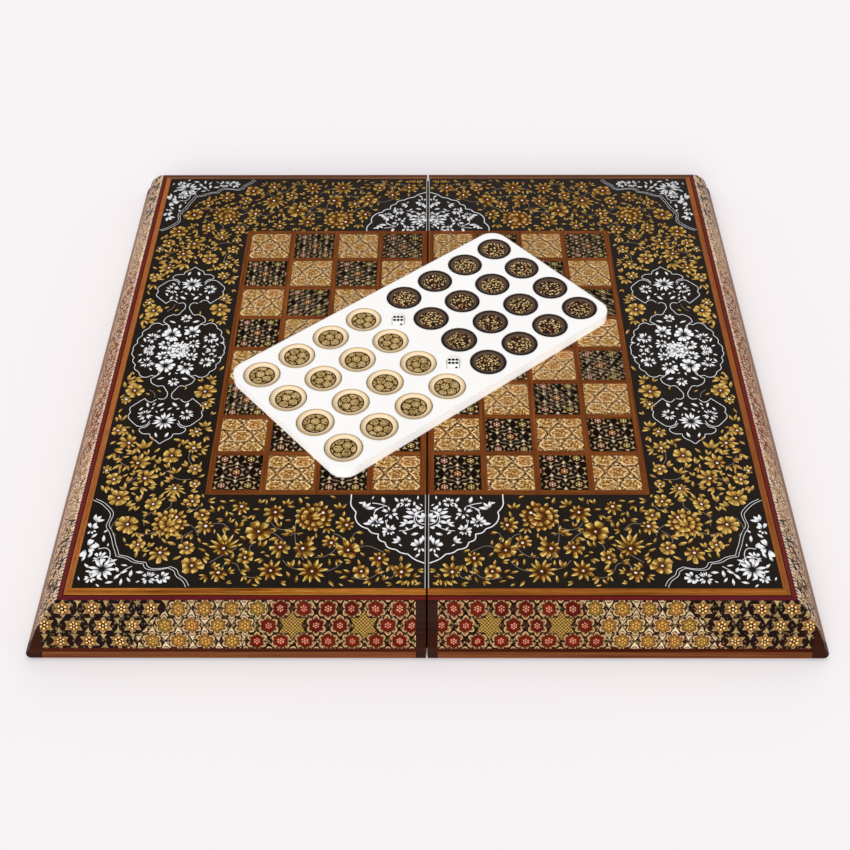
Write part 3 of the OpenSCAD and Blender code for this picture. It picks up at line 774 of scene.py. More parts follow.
def brush_line(sheet, width, points):
    """A line of even width through points. A point with a third value is a sharp one."""
    path = bpy.data.curves.new("brush_line", "CURVE")
    path.dimensions = "3D"
    path.resolution_u = 5
    path.bevel_depth = width / 2000
    path.bevel_resolution = 1
    path.use_fill_caps = True
    run = path.splines.new("BEZIER")
    run.bezier_points.add(len(points) - 1)
    for bend, point in zip(run.bezier_points, points):
        bend.co = (point[0] / 1000, point[1] / 1000, 0)
        bend.handle_left_type = bend.handle_right_type = "VECTOR" if len(point) > 2 else "AUTO"
    line = bpy.data.objects.new("brush_line", path)
    bpy.context.scene.collection.objects.link(line)
    bpy.ops.object.select_all(action="DESELECT")
    line.select_set(True)
    bpy.context.view_layer.objects.active = line
    bpy.ops.object.convert(target="MESH")
    mesh = line.data
    mesh.transform(Matrix.Translation((0, 0, top)) @ Matrix.Diagonal((1, 1, 0.24, 1)))
    while mesh.uv_layers:
        mesh.uv_layers.remove(mesh.uv_layers[0])
    length = mesh.uv_layers.new(name="stroke")
    for loop in length.data:
        loop.uv = (0, 0.85)
    sheet.from_mesh(mesh)
    bpy.data.objects.remove(line)


# Gold flowers of the front left quarter, from large to small, and then their leaves and stems
for x, y, r, count, turn in ((-203.5, -145.5, 8, 8, 0), (-194, -168.5, 8.6, 9, 10),
                             (-108.5, -174.5, 8.6, 6, 20), (-148, -202.5, 8, 7, 0), (-50, -190, 7.8, 7, 10),
                             (-209.5, -43, 7.4, 8, 5), (-159, -44, 8, 8, 0), (-174, -107, 7.6, 8, 0)):
    blossom(gold, x, y, r, count, turn)
daisy(gold, -98, -206.5, 9, 9, 0)
daisy(gold, -72, -207, 10.4, 11, 15)
peony(gold, -166.5, -167.5, 12.5, -35)
peony(gold, -73.5, -162, 13.5, -60)
lotus(gold, -129.5, -188.5, 14.5, 0)
lotus(gold, -167.5, -137, 10, 180)
for x, y, r, count, turn in ((-180, -151, 6, 6, 0), (-154.5, -148.5, 6, 6, 30),
                             (-146.5, -160.5, 5.8, 5, 15), (-184.5, -185.5, 5.4, 6, 0),
                             (-153, -188, 5.8, 6, 20), (-115, -196, 6.2, 6, 10), (-41, -207, 6.2, 5, 0),
                             (-214.5, -83, 5.2, 5, 0), (-156.5, -119.5, 5.2, 6, 10),
                             (-209.5, -129, 5.6, 6, 0), (-155, -133, 4, 5, 0)):
    blossom(gold, x, y, r, count, turn)
for x, y, r, turn in ((-143, -170, 8, 140), (-121.5, -153, 7.5, 170), (-169.5, -192, 9, 180),
                      (-130.5, -208, 7.5, 180), (-99, -158, 10, 150), (-52, -169, 8.5, 70),
                      (-93.5, -187.5, 9, 180), (-79, -188.5, 10.5, -125), (-61, -184, 7.5, 35),
                      (-30, -196.5, 8.5, 180), (-16, -207.5, 8.5, -40), (-214, -52, 5, 180),
                      (-157, -57, 5.5, 200), (-160, -84, 6.5, 160), (-205, -95, 9, 50),
                      (-196, -114, 9.5, -50), (-160, -100, 7.5, 0), (-189, -128, 9.5, -80),
                      (-216, -121, 5, 0)):
    side_flower(gold, x, y, r, turn)
leaves(gold, (-182, -166.5, 6, 60), (-123.3, -168.5, 6.5, 10), (-120.3, -168.5, 6.5, -10),
       (-141, -185.5, 5.5, 70), (-142.5, -190, 6, 60), (-139, -194.5, 5.5, 40), (-123.4, -195, 5.5, -5),
       (-113, -204.5, 7, 35), (-111, -215, 5.5, -30), (-158.3, -196.5, 5.5, -60), (-184.5, -193.3, 5.5, 0),
       (-179, -194, 4, -20), (-194, -182, 4.5, 30), (-191, -186, 4, 80), (-120, -185.8, 5, -70),
       (-118, -180, 6, 60), (-106.6, -184.5, 6.5, -10), (-103.6, -185, 6.5, -30), (-104, -191.7, 4, 90),
       (-101, -195, 5, 70), (-111.5, -155.7, 5.5, 90), (-137, -175, 4.5, 0), (-146, -182, 5.5, 30),
       (-168.5, -182, 6, 40), (-163.5, -184.5, 7, 70), (-190, -155, 5, -30), (-172, -178, 4.5, 20),
       (-90, -165, 5, 90), (-91, -177.5, 5.5, 80), (-81, -176, 4.5, 90), (-71.5, -178.5, 5, 0),
       (-52.5, -181.5, 5.5, 20), (-43, -175.5, 5.5, 80), (-41.5, -184, 5, 0), (-40.5, -193.5, 4.5, 40),
       (-25, -190.5, 5, 60), (-59.5, -194, 5, 80), (-61.7, -200, 5.5, 10), (-80.5, -200.5, 5.5, 0),
       (-86.5, -209.5, 6, 20), (-81.5, -213.5, 6, 0), (-31, -213.5, 5.5, -20), (-16.5, -197, 5.5, 0),
       (-43, -200.5, 5.5, 20), (-83, -148.5, 6, 15), (-54.5, -160, 6, -10), (-47, -215, 5, 75),
       (-52, -211.5, 6, 100), (-55, -208, 6, 80), (-50, -207, 5, 60), (-192, -43.5, 4, 60),
       (-199.5, -46.5, 4, 60), (-173.5, -40.5, 4, 0), (-190, -91, 5, 40), (-172, -92.5, 6, 80),
       (-216, -137, 5.5, 30), (-209, -139, 5, 20), (-195, -137, 6.5, 100), (-194.5, -142, 4.5, 60),
       (-207, -122, 4.5, 0), (-203, -125.5, 4.5, -50), (-208.5, -80, 4.5, 90), (-204, -84, 4, 20),
       (-217, -108, 4, -60), (-153.5, -115, 4.5, 0), (-155, -106, 4, 80), (-170, -97.5, 4.5, -10),
       (-205, -108.5, 5, -80), (-184.5, -102, 6, -40), (-186, -109, 6, -30), (-184, -117, 4.5, 0),
       (-177, -133, 5.5, 10), (-176, -144, 6, -20), (-174, -147, 5, -50), (-183.5, -137, 5, 60),
       (-162, -131, 4, -30), (-148, -144, 4, 20), (-160.5, -151, 4, 60), (-148, -152, 4, 0),
       (-134, -149, 6, 70), (-128, -148, 5, 90), (-105.5, -149.5, 5, 0), (-127.5, -160, 5, 60),
       (-131, -160, 6, 0), (-94, -150, 5, 20))
for x, y, length, turn, count in ((-57, -156, 6.5, 0, 3), (-93, -152, 6.5, -60, 3), (-214, -74, 7, 20, 3),
                                  (-216, -33, 7, 0, 3), (-156, -32, 6, 10, 3), (-155, -80, 7, 0, 3),
                                  (-169, -124, 6.5, 20, 3), (-194, -101, 9, 10, 3), (-162, -34, 4.5, 40, 2),
                                  (-145, -148, 6.5, -70, 3), (-64, -171, 6, 190, 3),
                                  (-151, -176, 6, 150, 2), (-125, -208, 5, -60, 3),
                                  (-137, -211, 5.5, 120, 3)):
    spray(gold, x, y, length, turn, count)
stems = (((-187, -176), (-181, -176.8), (-175, -175)), ((-157, -184), (-156.5, -179), (-151, -174)),
         ((-139, -168), (-132.5, -168), (-127, -173)), ((-137, -200), (-130, -194.5), (-121, -188)),
         ((-130, -206), (-126, -201), (-120.5, -201), (-117, -207), (-112, -211.5), (-106, -212)),
         ((-101, -167), (-98, -171), (-92, -173), (-85, -171)),
         ((-84.5, -158), (-85, -175), (-83, -187), (-78, -198)), ((-91, -198), (-87, -203), (-80, -206)),
         ((-63, -207), (-57, -204), (-53, -199)),
         ((-71, -196), (-63.5, -194.5), (-57.5, -186), (-60, -181)),
         ((-101, -174), (-95, -179), (-89, -187)), ((-44, -188), (-38, -186.5), (-32, -189), (-27, -192)),
         ((-47, -183), (-47, -177), (-43, -174)), ((-47, -212), (-38, -213), (-32, -210), (-30, -204)),
         ((-29, -204), (-27.5, -211), (-22, -212), (-19.5, -206)),
         ((-210, -107), (-208, -113), (-201, -118)), ((-194, -127), (-199, -131.5), (-203, -138)),
         ((-162, -103), (-162, -110), (-159, -116)), ((-173, -125), (-166, -129), (-158, -129)),
         ((-199, -42), (-195, -46), (-194, -50)), ((-175, -116), (-173, -120), (-177, -123)),
         ((-170, -146), (-168, -152), (-172, -157)), ((-158, -153), (-152, -156), (-149, -152)),
         ((-155, -168), (-150, -172), (-147, -178)), ((-110, -183), (-113, -188), (-112, -192)),
         ((-200, -178), (-204, -172), (-201, -163)), ((-60, -176), (-55, -179), (-53, -184)),
         ((-88, -178), (-84, -176), (-82, -178)), ((-180, -158), (-184, -163), (-183, -170)))
for points in stems:
    brush_line(vines, 0.5, points)


def in_field(x, y, corner_line, bulge, ovals):
    """Whether a place is past a bulging line across the corner, or in one of the ovals."""
    if x + y < corner_line - min(max((40 - abs(x - y)) / 2, 0), bulge):
        return True
    return any(((x - middle_x) / half_w) ** 2 + ((y - middle_y) / half_d) ** 2 < 1
               for middle_x, middle_y, half_w, half_d in ovals)


def is_painted(x, y, turn, length, parts):
    """Whether paint lies on one of the places at these parts of a stroke."""
    places = (step_from(x, y, turn, length * part) for part in parts)
    return any((round(at_x), round(at_y)) in painted for at_x, at_y in places)


# Small leaves in pairs fill the ground wherever it is still bare, outside the white fields. A white field
# is a line across the corner, how far it bulges, and ovals by their middle and half sizes.
white_fields = (-357, 18, ((0, -145, 55, 61), (-184, 0, 39, 36), (-184, -38, 20, 16), (-184, -66, 30, 22),
                           (-184, -89, 17, 13)))
leaf_sway = 18
bare_side, bare_front = chess_side - 3, chess_front - 2.6
for _ in range(7000):
    x, y = chance.uniform(-217.5, -2), chance.uniform(-217.5, -2)
    if (x > bare_side and y > bare_front) or in_field(x, y, *white_fields):
        continue
    turn, length = chance.uniform(0, 360), chance.uniform(4.4, 7.6)
    if in_field(*step_from(x, y, turn + leaf_sway, length), *white_fields):
        continue
    in_corner = x < -150 and y > -150
    apart = (0, 0.3, 0.6, 0.9) if in_corner else (-0.2, 0.1, 0.4, 0.7, 1, 1.3)
    if not is_painted(x, y, turn + leaf_sway, length, apart):
        lay(gold, almond, x, y, turn, length, 0.42 * length)
        lay(gold, almond, x, y, turn + 40, 0.8 * length, 0.33 * length)


# White fields in the painting: a lobed outline round each group of white flowers, in the corners, against the
# middle of the chess field, and one long three-part field on each side. The corner's outline is double.
corner_outline = ((-220, -147.5), (-214, -151), (-208.5, -156.5, 1), (-206.5, -160), (-206.8, -165),
                  (-207.5, -170), (-204.5, -175.5, 1), (-202.5, -180), (-200.5, -186), (-198, -192),
                  (-197, -195, 1), (-191, -196.5), (-185, -200), (-179, -201, 1), (-176.5, -205),
                  (-170, -206), (-162.5, -204.5, 1), (-158.5, -207), (-157, -210.5), (-152, -215),
                  (-149.5, -219.6))
for east, north in ((0, 0), (1.71, 1.045)):
    brush_line(white, 0.36, [(x + east, y + north, *sharp) for x, y, *sharp in corner_outline])
brush_line(white, 0.85, ((-50, -141.5), (-50, -146), (-49.8, -152), (-46.3, -158, 1), (-46.6, -163),
                         (-43, -169.5), (-38, -172.3, 1), (-35.5, -175.5), (-31.3, -176.6, 1),
                         (-30.8, -181), (-26.8, -183.6, 1), (-25, -187.5), (-19.5, -189.6, 1),
                         (-16.5, -192), (-12, -193.2, 1), (-8, -197.2), (-1.6, -200.5)))
side_x = -184


def field(*points):
    """A stretch of a side field's outline, drawn on both sides of the field's middle line."""
    for side in (-1, 1):
        brush_line(white, 0.5, [(side_x + side * x, y, *sharp) for x, y, *sharp in points])


field((33.6, 0), (34, -3.5), (31.6, -7.8, 1), (32.2, -11), (29.4, -15.8, 1), (29.6, -19.4),
      (25.8, -23.4, 1), (24, -27.2), (19.8, -29), (16, -27, 1), (13, -27.6), (10.2, -24.6), (10, -20.5))
field((11, -23), (12, -27), (16, -30.5, 1), (14.5, -35), (9.5, -38.5, 1), (6.5, -38), (3.5, -42),
      (1.5, -47), (3.5, -51.5), (7.5, -51.2))
field((8.5, -52), (12, -54.8), (15.5, -53), (17, -51, 1), (20, -54), (23.5, -57.5, 1), (26, -61),
      (25, -65, 1), (26, -69), (22, -75, 1), (17, -79), (12, -77.5), (10, -73.5))
field((9.5, -76), (12, -79.5), (16, -81.5), (14, -85.5), (8, -86.5, 1), (7, -90), (3, -93), (0, -96, 1))
for side in (-1, 1):
    for x, y, length, turn in ((14, -57.5, 5.5, -20), (5, -57.5, 6, 50), (3.5, -87.5, 5, -15),
                               (27, -11, 5, 20), (24, -16, 4.5, 60), (9, -30.5, 5.5, 70), (19, -4, 4, 40)):
        leaves(white, (side_x + side * x, y, length, side * turn))
    blossom(white, side_x + side * 14.5, -67.5, 6.2, 7)
    blossom(white, side_x + side * 21.5, -13, 6.2, 7)
side_flower(white, -183, -33, 5.5, 170)
daisy(white, -184, -74, 9, 13)
blossom(white, -191.5, -16.5, 7.6, 9)
side_flower(white, -176, -18, 8.6, 160)
blossom(white, -160, 1.5, 5, 6)
blossom(white, -206, 1, 4.6, 6)
peony(white, -184, -1, 9, 20)
side_flower(white, -194.5, -6, 6, 60)
side_flower(white, -174, -7.5, 6, -50)
blossom(white, -24, -158.5, 6, 6)
blossom(white, -14, -149.5, 5, 6)
side_flower(white, -33, -167, 7, 0)
side_flower(white, -24, -174, 6, 20)
side_flower(white, -4.5, -187, 8, -10)
for turn, reach in ((38, 10.5), (56, 13.5), (74, 15), (92, 15.5), (110, 14.5), (130, 12.5), (152, 10.5)):
    lay(white, pointed, 0, -162.6, turn, reach, 2.7, 8)
for turn, reach in ((30, 6.5), (66, 7.2), (104, 6.6)):
    lay(white, drop, 0, -164.2, turn, reach, 2.7, 1.8)
brush_line(white, 0.5, ((-2.3, -156.6), (-5, -158.2), (-6.8, -161.4), (-6.6, -164.6), (-4.4, -167.4),
                        (-1.2, -168.6)))
for x, y, length, turn, count in ((-41, -155, 7, -40, 3), (-12, -168, 5.5, 60, 2), (-17, -183, 5.5, 60, 3)):
    spray(white, x, y, length, turn, count)
leaves(white, (-28.5, -147.5, 6, 10), (-20, -147.5, 4.5, 30), (-38.5, -168, 6, 90), (-16, -169, 5, -60),
       (-8, -176.5, 5, -70), (-6, -194, 5, -40), (-19.5, -163, 4, 30), (-19, -152.5, 5, -20),
       (-6, -154, 6, 30), (-7.5, -160, 6, -10), (-27.5, -177, 4, 0), (-43, -150, 4.5, 80),
       (-2.5, -180, 5, 10), (-12, -155.5, 4, 70))
brush_line(white, 0.6, ((-28, -153), (-33, -156), (-34.5, -162), (-32, -167)))
brush_line(white, 0.6, ((-27, -165), (-25.5, -170), (-23, -173)))
brush_line(white, 0.6, ((-36, -150), (-31, -151), (-26, -153)))
brush_line(white, 0.7, ((-5, -157), (-8, -162), (-7, -168), (-2, -171)))
brush_line(white, 0.5, ((-18, -174), (-12, -173), (-6, -169.5)))
spray(white, -216, -166, 6.5, -20, 4)
side_flower(white, -216.5, -173, 6.5, 20)
blossom(white, -217, -188, 7.4, 7, 20)
leaves(white, (-207.5, -180.5, 6, 10), (-214, -178, 5, -40), (-218.5, -182, 4.5, 80), (-211, -186, 6, 40),
       (-213.5, -193.5, 6, -20), (-217, -197, 4.5, -30), (-198.5, -199, 5.5, -70), (-194.5, -205.5, 5, 30),
       (-214, -203, 5, 50), (-212.5, -207, 4.5, 80), (-198, -216, 5, -80), (-180, -208, 5.5, 90),
       (-185.5, -209, 5.5, 0), (-190, -207.5, 5.5, -60), (-193.5, -211.5, 5.5, -40),
       (-190.5, -215.5, 5.5, 0), (-186, -214, 4.5, 40), (-204, -213, 4.5, 60), (-167, -215.5, 4.5, 50))
side_flower(white, -207.5, -196.5, 6, -40)
daisy(white, -204, -205.5, 9.6, 11, 10)
brush_line(white, 0.5, ((-211, -199), (-206, -195.5), (-200, -197), (-196, -202)))
side_flower(white, -210, -212, 5, 160)
blossom(white, -174, -212.5, 5.8, 7)
side_flower(white, -166, -212, 6.5, -90)
brush_line(white, 0.5, ((-209, -189), (-204, -188.5), (-201, -193), (-201.5, -200)))
brush_line(white, 0.5, ((-193, -211), (-189.5, -206), (-185.5, -203)))

# Small white leaves fill what is still bare inside the white fields
leafy_fields = (-377, 20, ((0, -145, 42, 46), (-184, 0, 31, 26), (-184, -66, 21, 10)))
for _ in range(4500):
    x, y = chance.uniform(-218, -1.5), chance.uniform(-218, -1.5)
    turn, length = chance.uniform(0, 360), chance.uniform(2.6, 4.4)
    if (x > bare_side and y > bare_front + 1) or not in_field(x, y, *leafy_fields):
        continue
    if not is_painted(x, y, turn, length, (-0.1, 0.2, 0.6, 1, 1.1)):
        lay(white, almond, x, y, turn, length, 0.42 * length)


# Paints: gold and white, dark where the brush sets down and along a stroke's rims and light at its tip, over
# flat brown, with pearl white dots and vines of thin grey-brown.
def stroke_paint(name):
    """A new paint: its shader, the place on the object, and the place across and along each stroke."""
    paint, shader, (x, y, z) = finish_of(name)
    stroke_map = x.tree.nodes.new("ShaderNodeUVMap")
    stroke_map.uv_map = "stroke"
    split = x.tree.nodes.new("ShaderNodeSeparateXYZ")
    x.tree.links.new(stroke_map.outputs[0], split.inputs[0])
    return paint, shader, (x, y, z), Wire(x.tree, split.outputs[0]), Wire(x.tree, split.outputs[1])


gold_paint, shader, (x, y, z), across, along = stroke_paint("gold_paint")
patch = cloud(vector(abs(x), abs(y), z), 0.035, 2.0)
fine = cloud(vector(x, y, z), 0.5, 2.0)
each = cloud(vector(x, y, z), 0.24, 1.0)
middle = patch.over(0.5, 0.2).colour("#ac882a", "#b8822c")
tip = patch.over(0.5, 0.2).colour("#f0d06a", "#f0c678")
colour = along.over(0.3, 0.3).colour("#3c1808", middle)
colour = (along.over(0.6, 0.4) * each.over(0.42, 0.2)).colour(colour, tip)
colour = (across.between(0.04, 0.34, 0.1) * along.over(0.4, 0.3) * 0.8).colour(colour, "#f8d884")
colour = (cloud(vector(x, y, z), 0.09, 1.0).over(0.6, 0.12) * 0.35).colour(colour, "#8c8236")
colour = (across.under(-0.14, 0.18) * 0.75).colour(colour, "#744410")
colour = (abs(across).under(0.05, 0.06) * along.under(0.75, 0.2) * 0.6).colour(colour, "#3c1c08")
colour = (abs(across).over(0.42, 0.1) * 0.9).colour(colour, "#2c1406")
colour = (each.under(0.42, 0.12) * 0.5).colour(colour, "#7c4812")
colour = (fine.under(0.42, 0.2) * 0.4).colour(colour, "#6a4010")
# The gold is lighter towards the outer sides, and painted shade darkens it towards the back
colour = (abs(x).over(150, 20) * y.under(120, 60) * 0.22).colour(colour, "#f0c468")
colour = (y.over(150, 120) * 0.45).colour(colour, "#6c4416")
feed(shader.inputs["Base Color"], colour)
feed(shader.inputs["Roughness"], fine.either(0.3, 0.5))

white_paint, shader, (x, y, z), across, along = stroke_paint("white_paint")
fine = cloud(vector(x, y, z), 0.5, 2.0)
colour = along.over(0.25, 0.4).colour("#8e8e94", "#f8f8fa")
colour = (abs(across).over(0.43, 0.1) * 0.85).colour(colour, "#24211f")
colour = (fine.under(0.42, 0.2) * 0.25).colour(colour, "#a9a9b0")
# Painted shade greys the white towards the back
colour = (y.over(150, 120) * 0.35).colour(colour, "#77777a")
feed(shader.inputs["Base Color"], colour)
feed(shader.inputs["Roughness"], fine.either(0.32, 0.5))


def plain_paint(name, patch_size, low, high, smooth, rough):
    """A paint without brush marks, which varies softly from patch to patch."""
    paint, shader, (x, y, z) = finish_of(name)
    haze = cloud(vector(x, y, z), patch_size, 2.0)
    feed(shader.inputs["Base Color"], haze.colour(low, high))
    feed(shader.inputs["Roughness"], haze.either(smooth, rough))
    return paint


pearl_paint = plain_paint("pearl_paint", 0.6, "#e2dcd4", "#f6f2ee", 0.25, 0.4)
vine_paint = plain_paint("vine_paint", 0.12, "#6a5c50", "#968878", 0.32, 0.5)
brown_paint, shader, (x, y, z) = finish_of("brown_paint")
haze = cloud(vector(x, y, z), 0.3, 2.0)
feed(shader.inputs["Base Color"], haze.over(0.42, 0.2).colour("#2e140a", "#5a300e"))
feed(shader.inputs["Roughness"], haze.either(0.32, 0.5))

# The grounds are thinner than the flowers on them. Each sheet of paint is mirrored from front to back and
# from half to half. Nothing is painted on the chess field, and beside it the far half runs a little longer.
ground_share = 0.4
far_end, far_stretch = 0.145, 0.0034
clip_side, clip_front, clip_back = -chess_low[0], chess_low[1] + 0.00005, chess_high[1] - 0.00005
for corner in under.verts:
    corner.co.z = top - paint_bite + (corner.co.z - top + paint_bite) * ground_share
for name, sheet, paint in (("gold_flowers", gold, gold_paint), ("flower_pearls", pearls, pearl_paint),
                           ("flower_grounds", under, brown_paint), ("vines", vines, vine_paint),
                           ("white_flowers", white, white_paint)):
    quarter = bpy.data.meshes.new(name)
    sheet.to_mesh(quarter)
    sheet.free()
    for side, sign in (("left", 1), ("right", -1)):
        both = bmesh.new()
        for near in (1, -1):
            part = quarter.copy()
            part.transform(Matrix.Diagonal((sign, near, 1, 1)))
            for corner in part.vertices:
                if 0 < corner.co.y < far_end:
                    corner.co.y += far_stretch * math.sin(math.pi * corner.co.y / far_end)
            if sign * near < 0:
                part.flip_normals()
            both.from_mesh(part)
            bpy.data.meshes.remove(part)
        middles = ((face, face.calc_center_median()) for face in both.faces)
        bmesh.ops.delete(both, context="FACES", geom=[
            face for face, middle in middles
            if abs(middle.x) < clip_side and clip_front < middle.y < clip_back])
        mesh = bpy.data.meshes.new(f"{side}_{name}")
        both.to_mesh(mesh)
        both.free()
        mesh.materials.append(paint)
        piece = bpy.data.objects.new(f"{side}_{name}", mesh)
        bpy.context.scene.collection.objects.link(piece)
        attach(piece, f"{side}_half")

# Chess bars: red-brown hardwood strips let in between the squares and round them, the long ones from front to
# back and the short ones across, under gloss varnish.
seam_x = round(-chess_high[0] * 1000, 2)
bar, frame_bar = 3.9, 4
square = round(((chess_high[0] - chess_low[0]) * 1000 - 2 * frame_bar - 3 * bar) / 4, 2)
cell = square + bar
bar_wood, shader, (x, y, z) = finish_of("bar_wood")
from_seam = abs(x) - (seam_x + frame_bar)
between_squares = from_seam.math("WRAP", cell, 0).over(square, 0.05)
at_the_seam, at_the_side = from_seam.under(0, 0.05), from_seam.over(4 * cell - bar, 0.05)
long_bar = between_squares.math("MAXIMUM", at_the_seam).math("MAXIMUM", at_the_side)
streak, fleck, blotch = placed(grain, x.tree, Along=long_bar.either(x, y), Across=long_bar.either(y, x),
                               Deep=z + long_bar * 40)
colour = streak.colour("#54290f", "#945424")
colour = (blotch.over(0.5, 0.5) * 0.6).colour(colour, "#683214")
colour = (fleck.under(0.36, 0.2) * 0.4).colour(colour, "#401c0a")
feed(shader.inputs["Base Color"], colour)
feed(shader.inputs["Roughness"], fleck.either(0.42, 0.3))
bump(shader, streak, 0.08, 0.1)
wear(bar_wood, "left_chess_bars", "right_chess_bars")


# Chess squares: slices of two khatam sheets, a light one of tan flowers in a net of dark lines, and a dark
# one of ebony with grey stars and coloured flowers. Every square is cut from another place of its sheet, and
# let in with a dark line of glue round it.
field_middle_y = round((chess_low[1] + chess_high[1]) * 500, 2)


def square_place(x, y):
    """A place on a square, moved as its slice was, its distance to the nearest edge, and a random number."""
    tree = x.tree
    sign = x.math("SIGN")
    local_x = (abs(x) - (seam_x + frame_bar)).math("WRAP", cell, 0) - square / 2
    y = y - field_middle_y
    local_y = (y + (4 * cell - bar / 2)).math("WRAP", cell, 0) - square / 2
    odd = tree.nodes.new("ShaderNodeTexWhiteNoise")
    odd.noise_dimensions = "2D"
    feed(odd.inputs["Vector"], vector(((abs(x) - local_x) / cell).math("ROUND") * sign,
                                      ((y - local_y) / cell).math("ROUND"), 0))
    shift = tree.nodes.new("ShaderNodeSeparateColor")
    tree.links.new(odd.outputs["Color"], shift.inputs[0])
    edge = square / 2 - abs(local_x).math("MAXIMUM", abs(local_y))
    u = local_x * sign + Wire(tree, shift.outputs[0]) * 4 - 2
    v = local_y + Wire(tree, shift.outputs[1]) * 4 - 2
    return u, v, edge, Wire(tree, shift.outputs[2])


def light_khatam(tree, u, v):
    """Tan hexagons round a small flower, in a net of dark lines with a pearl in each triangle."""
    pitch, row = 16.6, 11.2
    u, v = u + (cloud(vector(u, v, 3), 0.2) - 0.5) * 1.6, v + (cloud(vector(u, v, 8), 0.2) - 0.5) * 1.6
    dx, dy, _, _, hue, tone = placed(khatam, tree, U=u, V=v, Pitch=pitch, Row=row)
    stretch = pitch * math.sqrt(0.75) / row
    far = (dx * dx + dy * dy * stretch ** 2).math("SQRT")
    turn = dx.math("ARCTAN2", dy * stretch).math("PINGPONG", math.pi / 6)
    out = far * turn.math("COSINE")
    beside = far * turn.math("SINE")
    net = pitch * math.sqrt(3) / 4
    radius = (dx * dx + dy * dy).math("SQRT")
    spots = placed(beads, tree, X=dx, Y=dy * 1.1, Count=6, Ring=5.2)
    dots = placed(beads, tree, X=dx, Y=dy, Count=6, Ring=3.1)
    from_corner = out - pitch / math.sqrt(3)
    corner_dot = (from_corner * from_corner + beside * beside).math("SQRT")
    petal = (turn.over(0.38, 0.14) * out.over(1.6, 0.4)).colour(hue.colour("#b07c3c", "#bf8d4c"), "#7c4c1a")
    colour = (tone.over(0.7, 0.1) * 0.4).colour(petal, "#a8842e")
    colour = (tone.under(0.2, 0.1) * 0.4).colour(colour, "#c07c40")
    colour = dots.under(0.6, 0.3).colour(colour, "#5c3410")
    colour = spots.under(0.9, 0.4).colour(colour, "#ecca94")
    patchy = cloud(vector(u, v, 5), 0.35).over(0.4, 0.15)
    colour = ((out - (net - 1.3)).between(-0.4, 0.4, 0.3) * patchy).colour(colour, "#f8dca8")
    colour = (out - net).over(0, 0.3).colour(colour, tone.colour("#7c5020", "#9c6c30"))
    colour = corner_dot.under(1.8, 0.3).colour(colour, "#54300e")
    colour = corner_dot.under(1.15, 0.4).colour(colour, "#ffe4b8")
    colour = (out - net).between(-0.6, 0.6, 0.3).colour(colour, "#3e2208")
    colour = radius.under(1.75, 0.3).colour(colour, "#4c260c")
    colour = radius.under(0.95, 0.3).colour(colour, hue.over(0.6, 0.1).colour("#f4c46c", "#e08a3c"))
    speck = cloud(vector(u, v, 0), 0.6, 2.0)
    colour = (speck.under(0.42, 0.1) * 0.65).colour(colour, "#54300e")
    colour = (speck.over(0.57, 0.1) * 0.6).colour(colour, "#fcd8a0")
    return colour


def dark_khatam(tree, u, v):
    """Ebony with bead flowers, six small stars round each, and a grey star between each three flowers."""
    pitch, row = 17.8, 11.9
    u, v = u + (cloud(vector(u, v, 3), 0.2) - 0.5), v + (cloud(vector(u, v, 8), 0.2) - 0.5)
    dx, dy, star_x, star_y, hue, tone = placed(khatam, tree, U=u, V=v, Pitch=pitch, Row=row)
    big, star_radius, _ = placed(star, tree, X=star_x, Y=star_y, Tips=3, Outer=2.5, Inner=1.0)
    far = (dx * dx + dy * dy).math("SQRT")
    turn = dx.math("ARCTAN2", dy).math("PINGPONG", math.pi / 6)
    small_x, small_y = far * turn.math("SINE"), far * turn.math("COSINE") - 4.8
    small, _, _ = placed(star, tree, X=small_x, Y=small_y, Tips=3, Outer=2.0, Inner=0.8)
    other_turn = math.pi / 6 - turn
    other_x, other_y = far * other_turn.math("SINE"), far * other_turn.math("COSINE") - 7.3
    between, _, _ = placed(star, tree, X=other_x, Y=other_y, Tips=3, Outer=1.5, Inner=0.6)
    ring = placed(beads, tree, X=dx, Y=dy, Count=6, Ring=1.8)
    colour = tone.colour("#120a05", "#1a1008")
    colour = (hue.over(0.8, 0.1) * 0.6).colour(colour, "#24161c")
    colour = big.over(0, 0.3).colour(colour, "#a08860")
    colour = star_radius.under(0.9, 0.5).colour(colour, "#e6d8b8")
    colour = small.over(0, 0.3).colour(colour, tone.colour("#7e6848", "#b0966c"))
    colour = (small.over(0.3, 0.3) * 0.6).colour(colour, "#d8c29a")
    between = between.over(0, 0.3) * tone.over(0.55, 0.1)
    colour = (between * 0.8).colour(colour, tone.colour("#78664a", "#b09a78"))
    bright = hue.over(0.5, 0.05).colour("#d8a088", hue.over(0.75, 0.05).colour("#bcb060", "#d89a5a"))
    bright = hue.under(0.25, 0.05).colour(bright, "#ecdcc0")
    colour = far.under(3.0, 0.3).colour(colour, "#4a1c0e")
    colour = ring.under(0.64, 0.3).colour(colour, bright)
    colour = far.under(0.7, 0.3).colour(colour, "#f4ead0")
    speck = cloud(vector(u, v, 0), 0.9, 1.0)
    colour = (speck.under(0.4, 0.12) * 0.5).colour(colour, "#120c09")
    return colour


khatam_light, shader, (x, y, _) = finish_of("khatam_light", 0.34)
u, v, edge, odd = square_place(x, y)
colour = light_khatam(x.tree, u, v)
colour = (cloud(vector(u, v, odd * 50), 0.12, 3.0).under(0.45, 0.25) * 0.35).colour(colour, "#a87c40")
# Painted shade darkens the light squares towards the back
colour = (y.over(120, 130) * 0.22).colour(colour, "#4a2a10")
colour = edge.under(0.3, 0.3).colour(colour, "#6b4420")
feed(shader.inputs["Base Color"], colour)
wear(khatam_light, "left_light_squares", "right_light_squares")

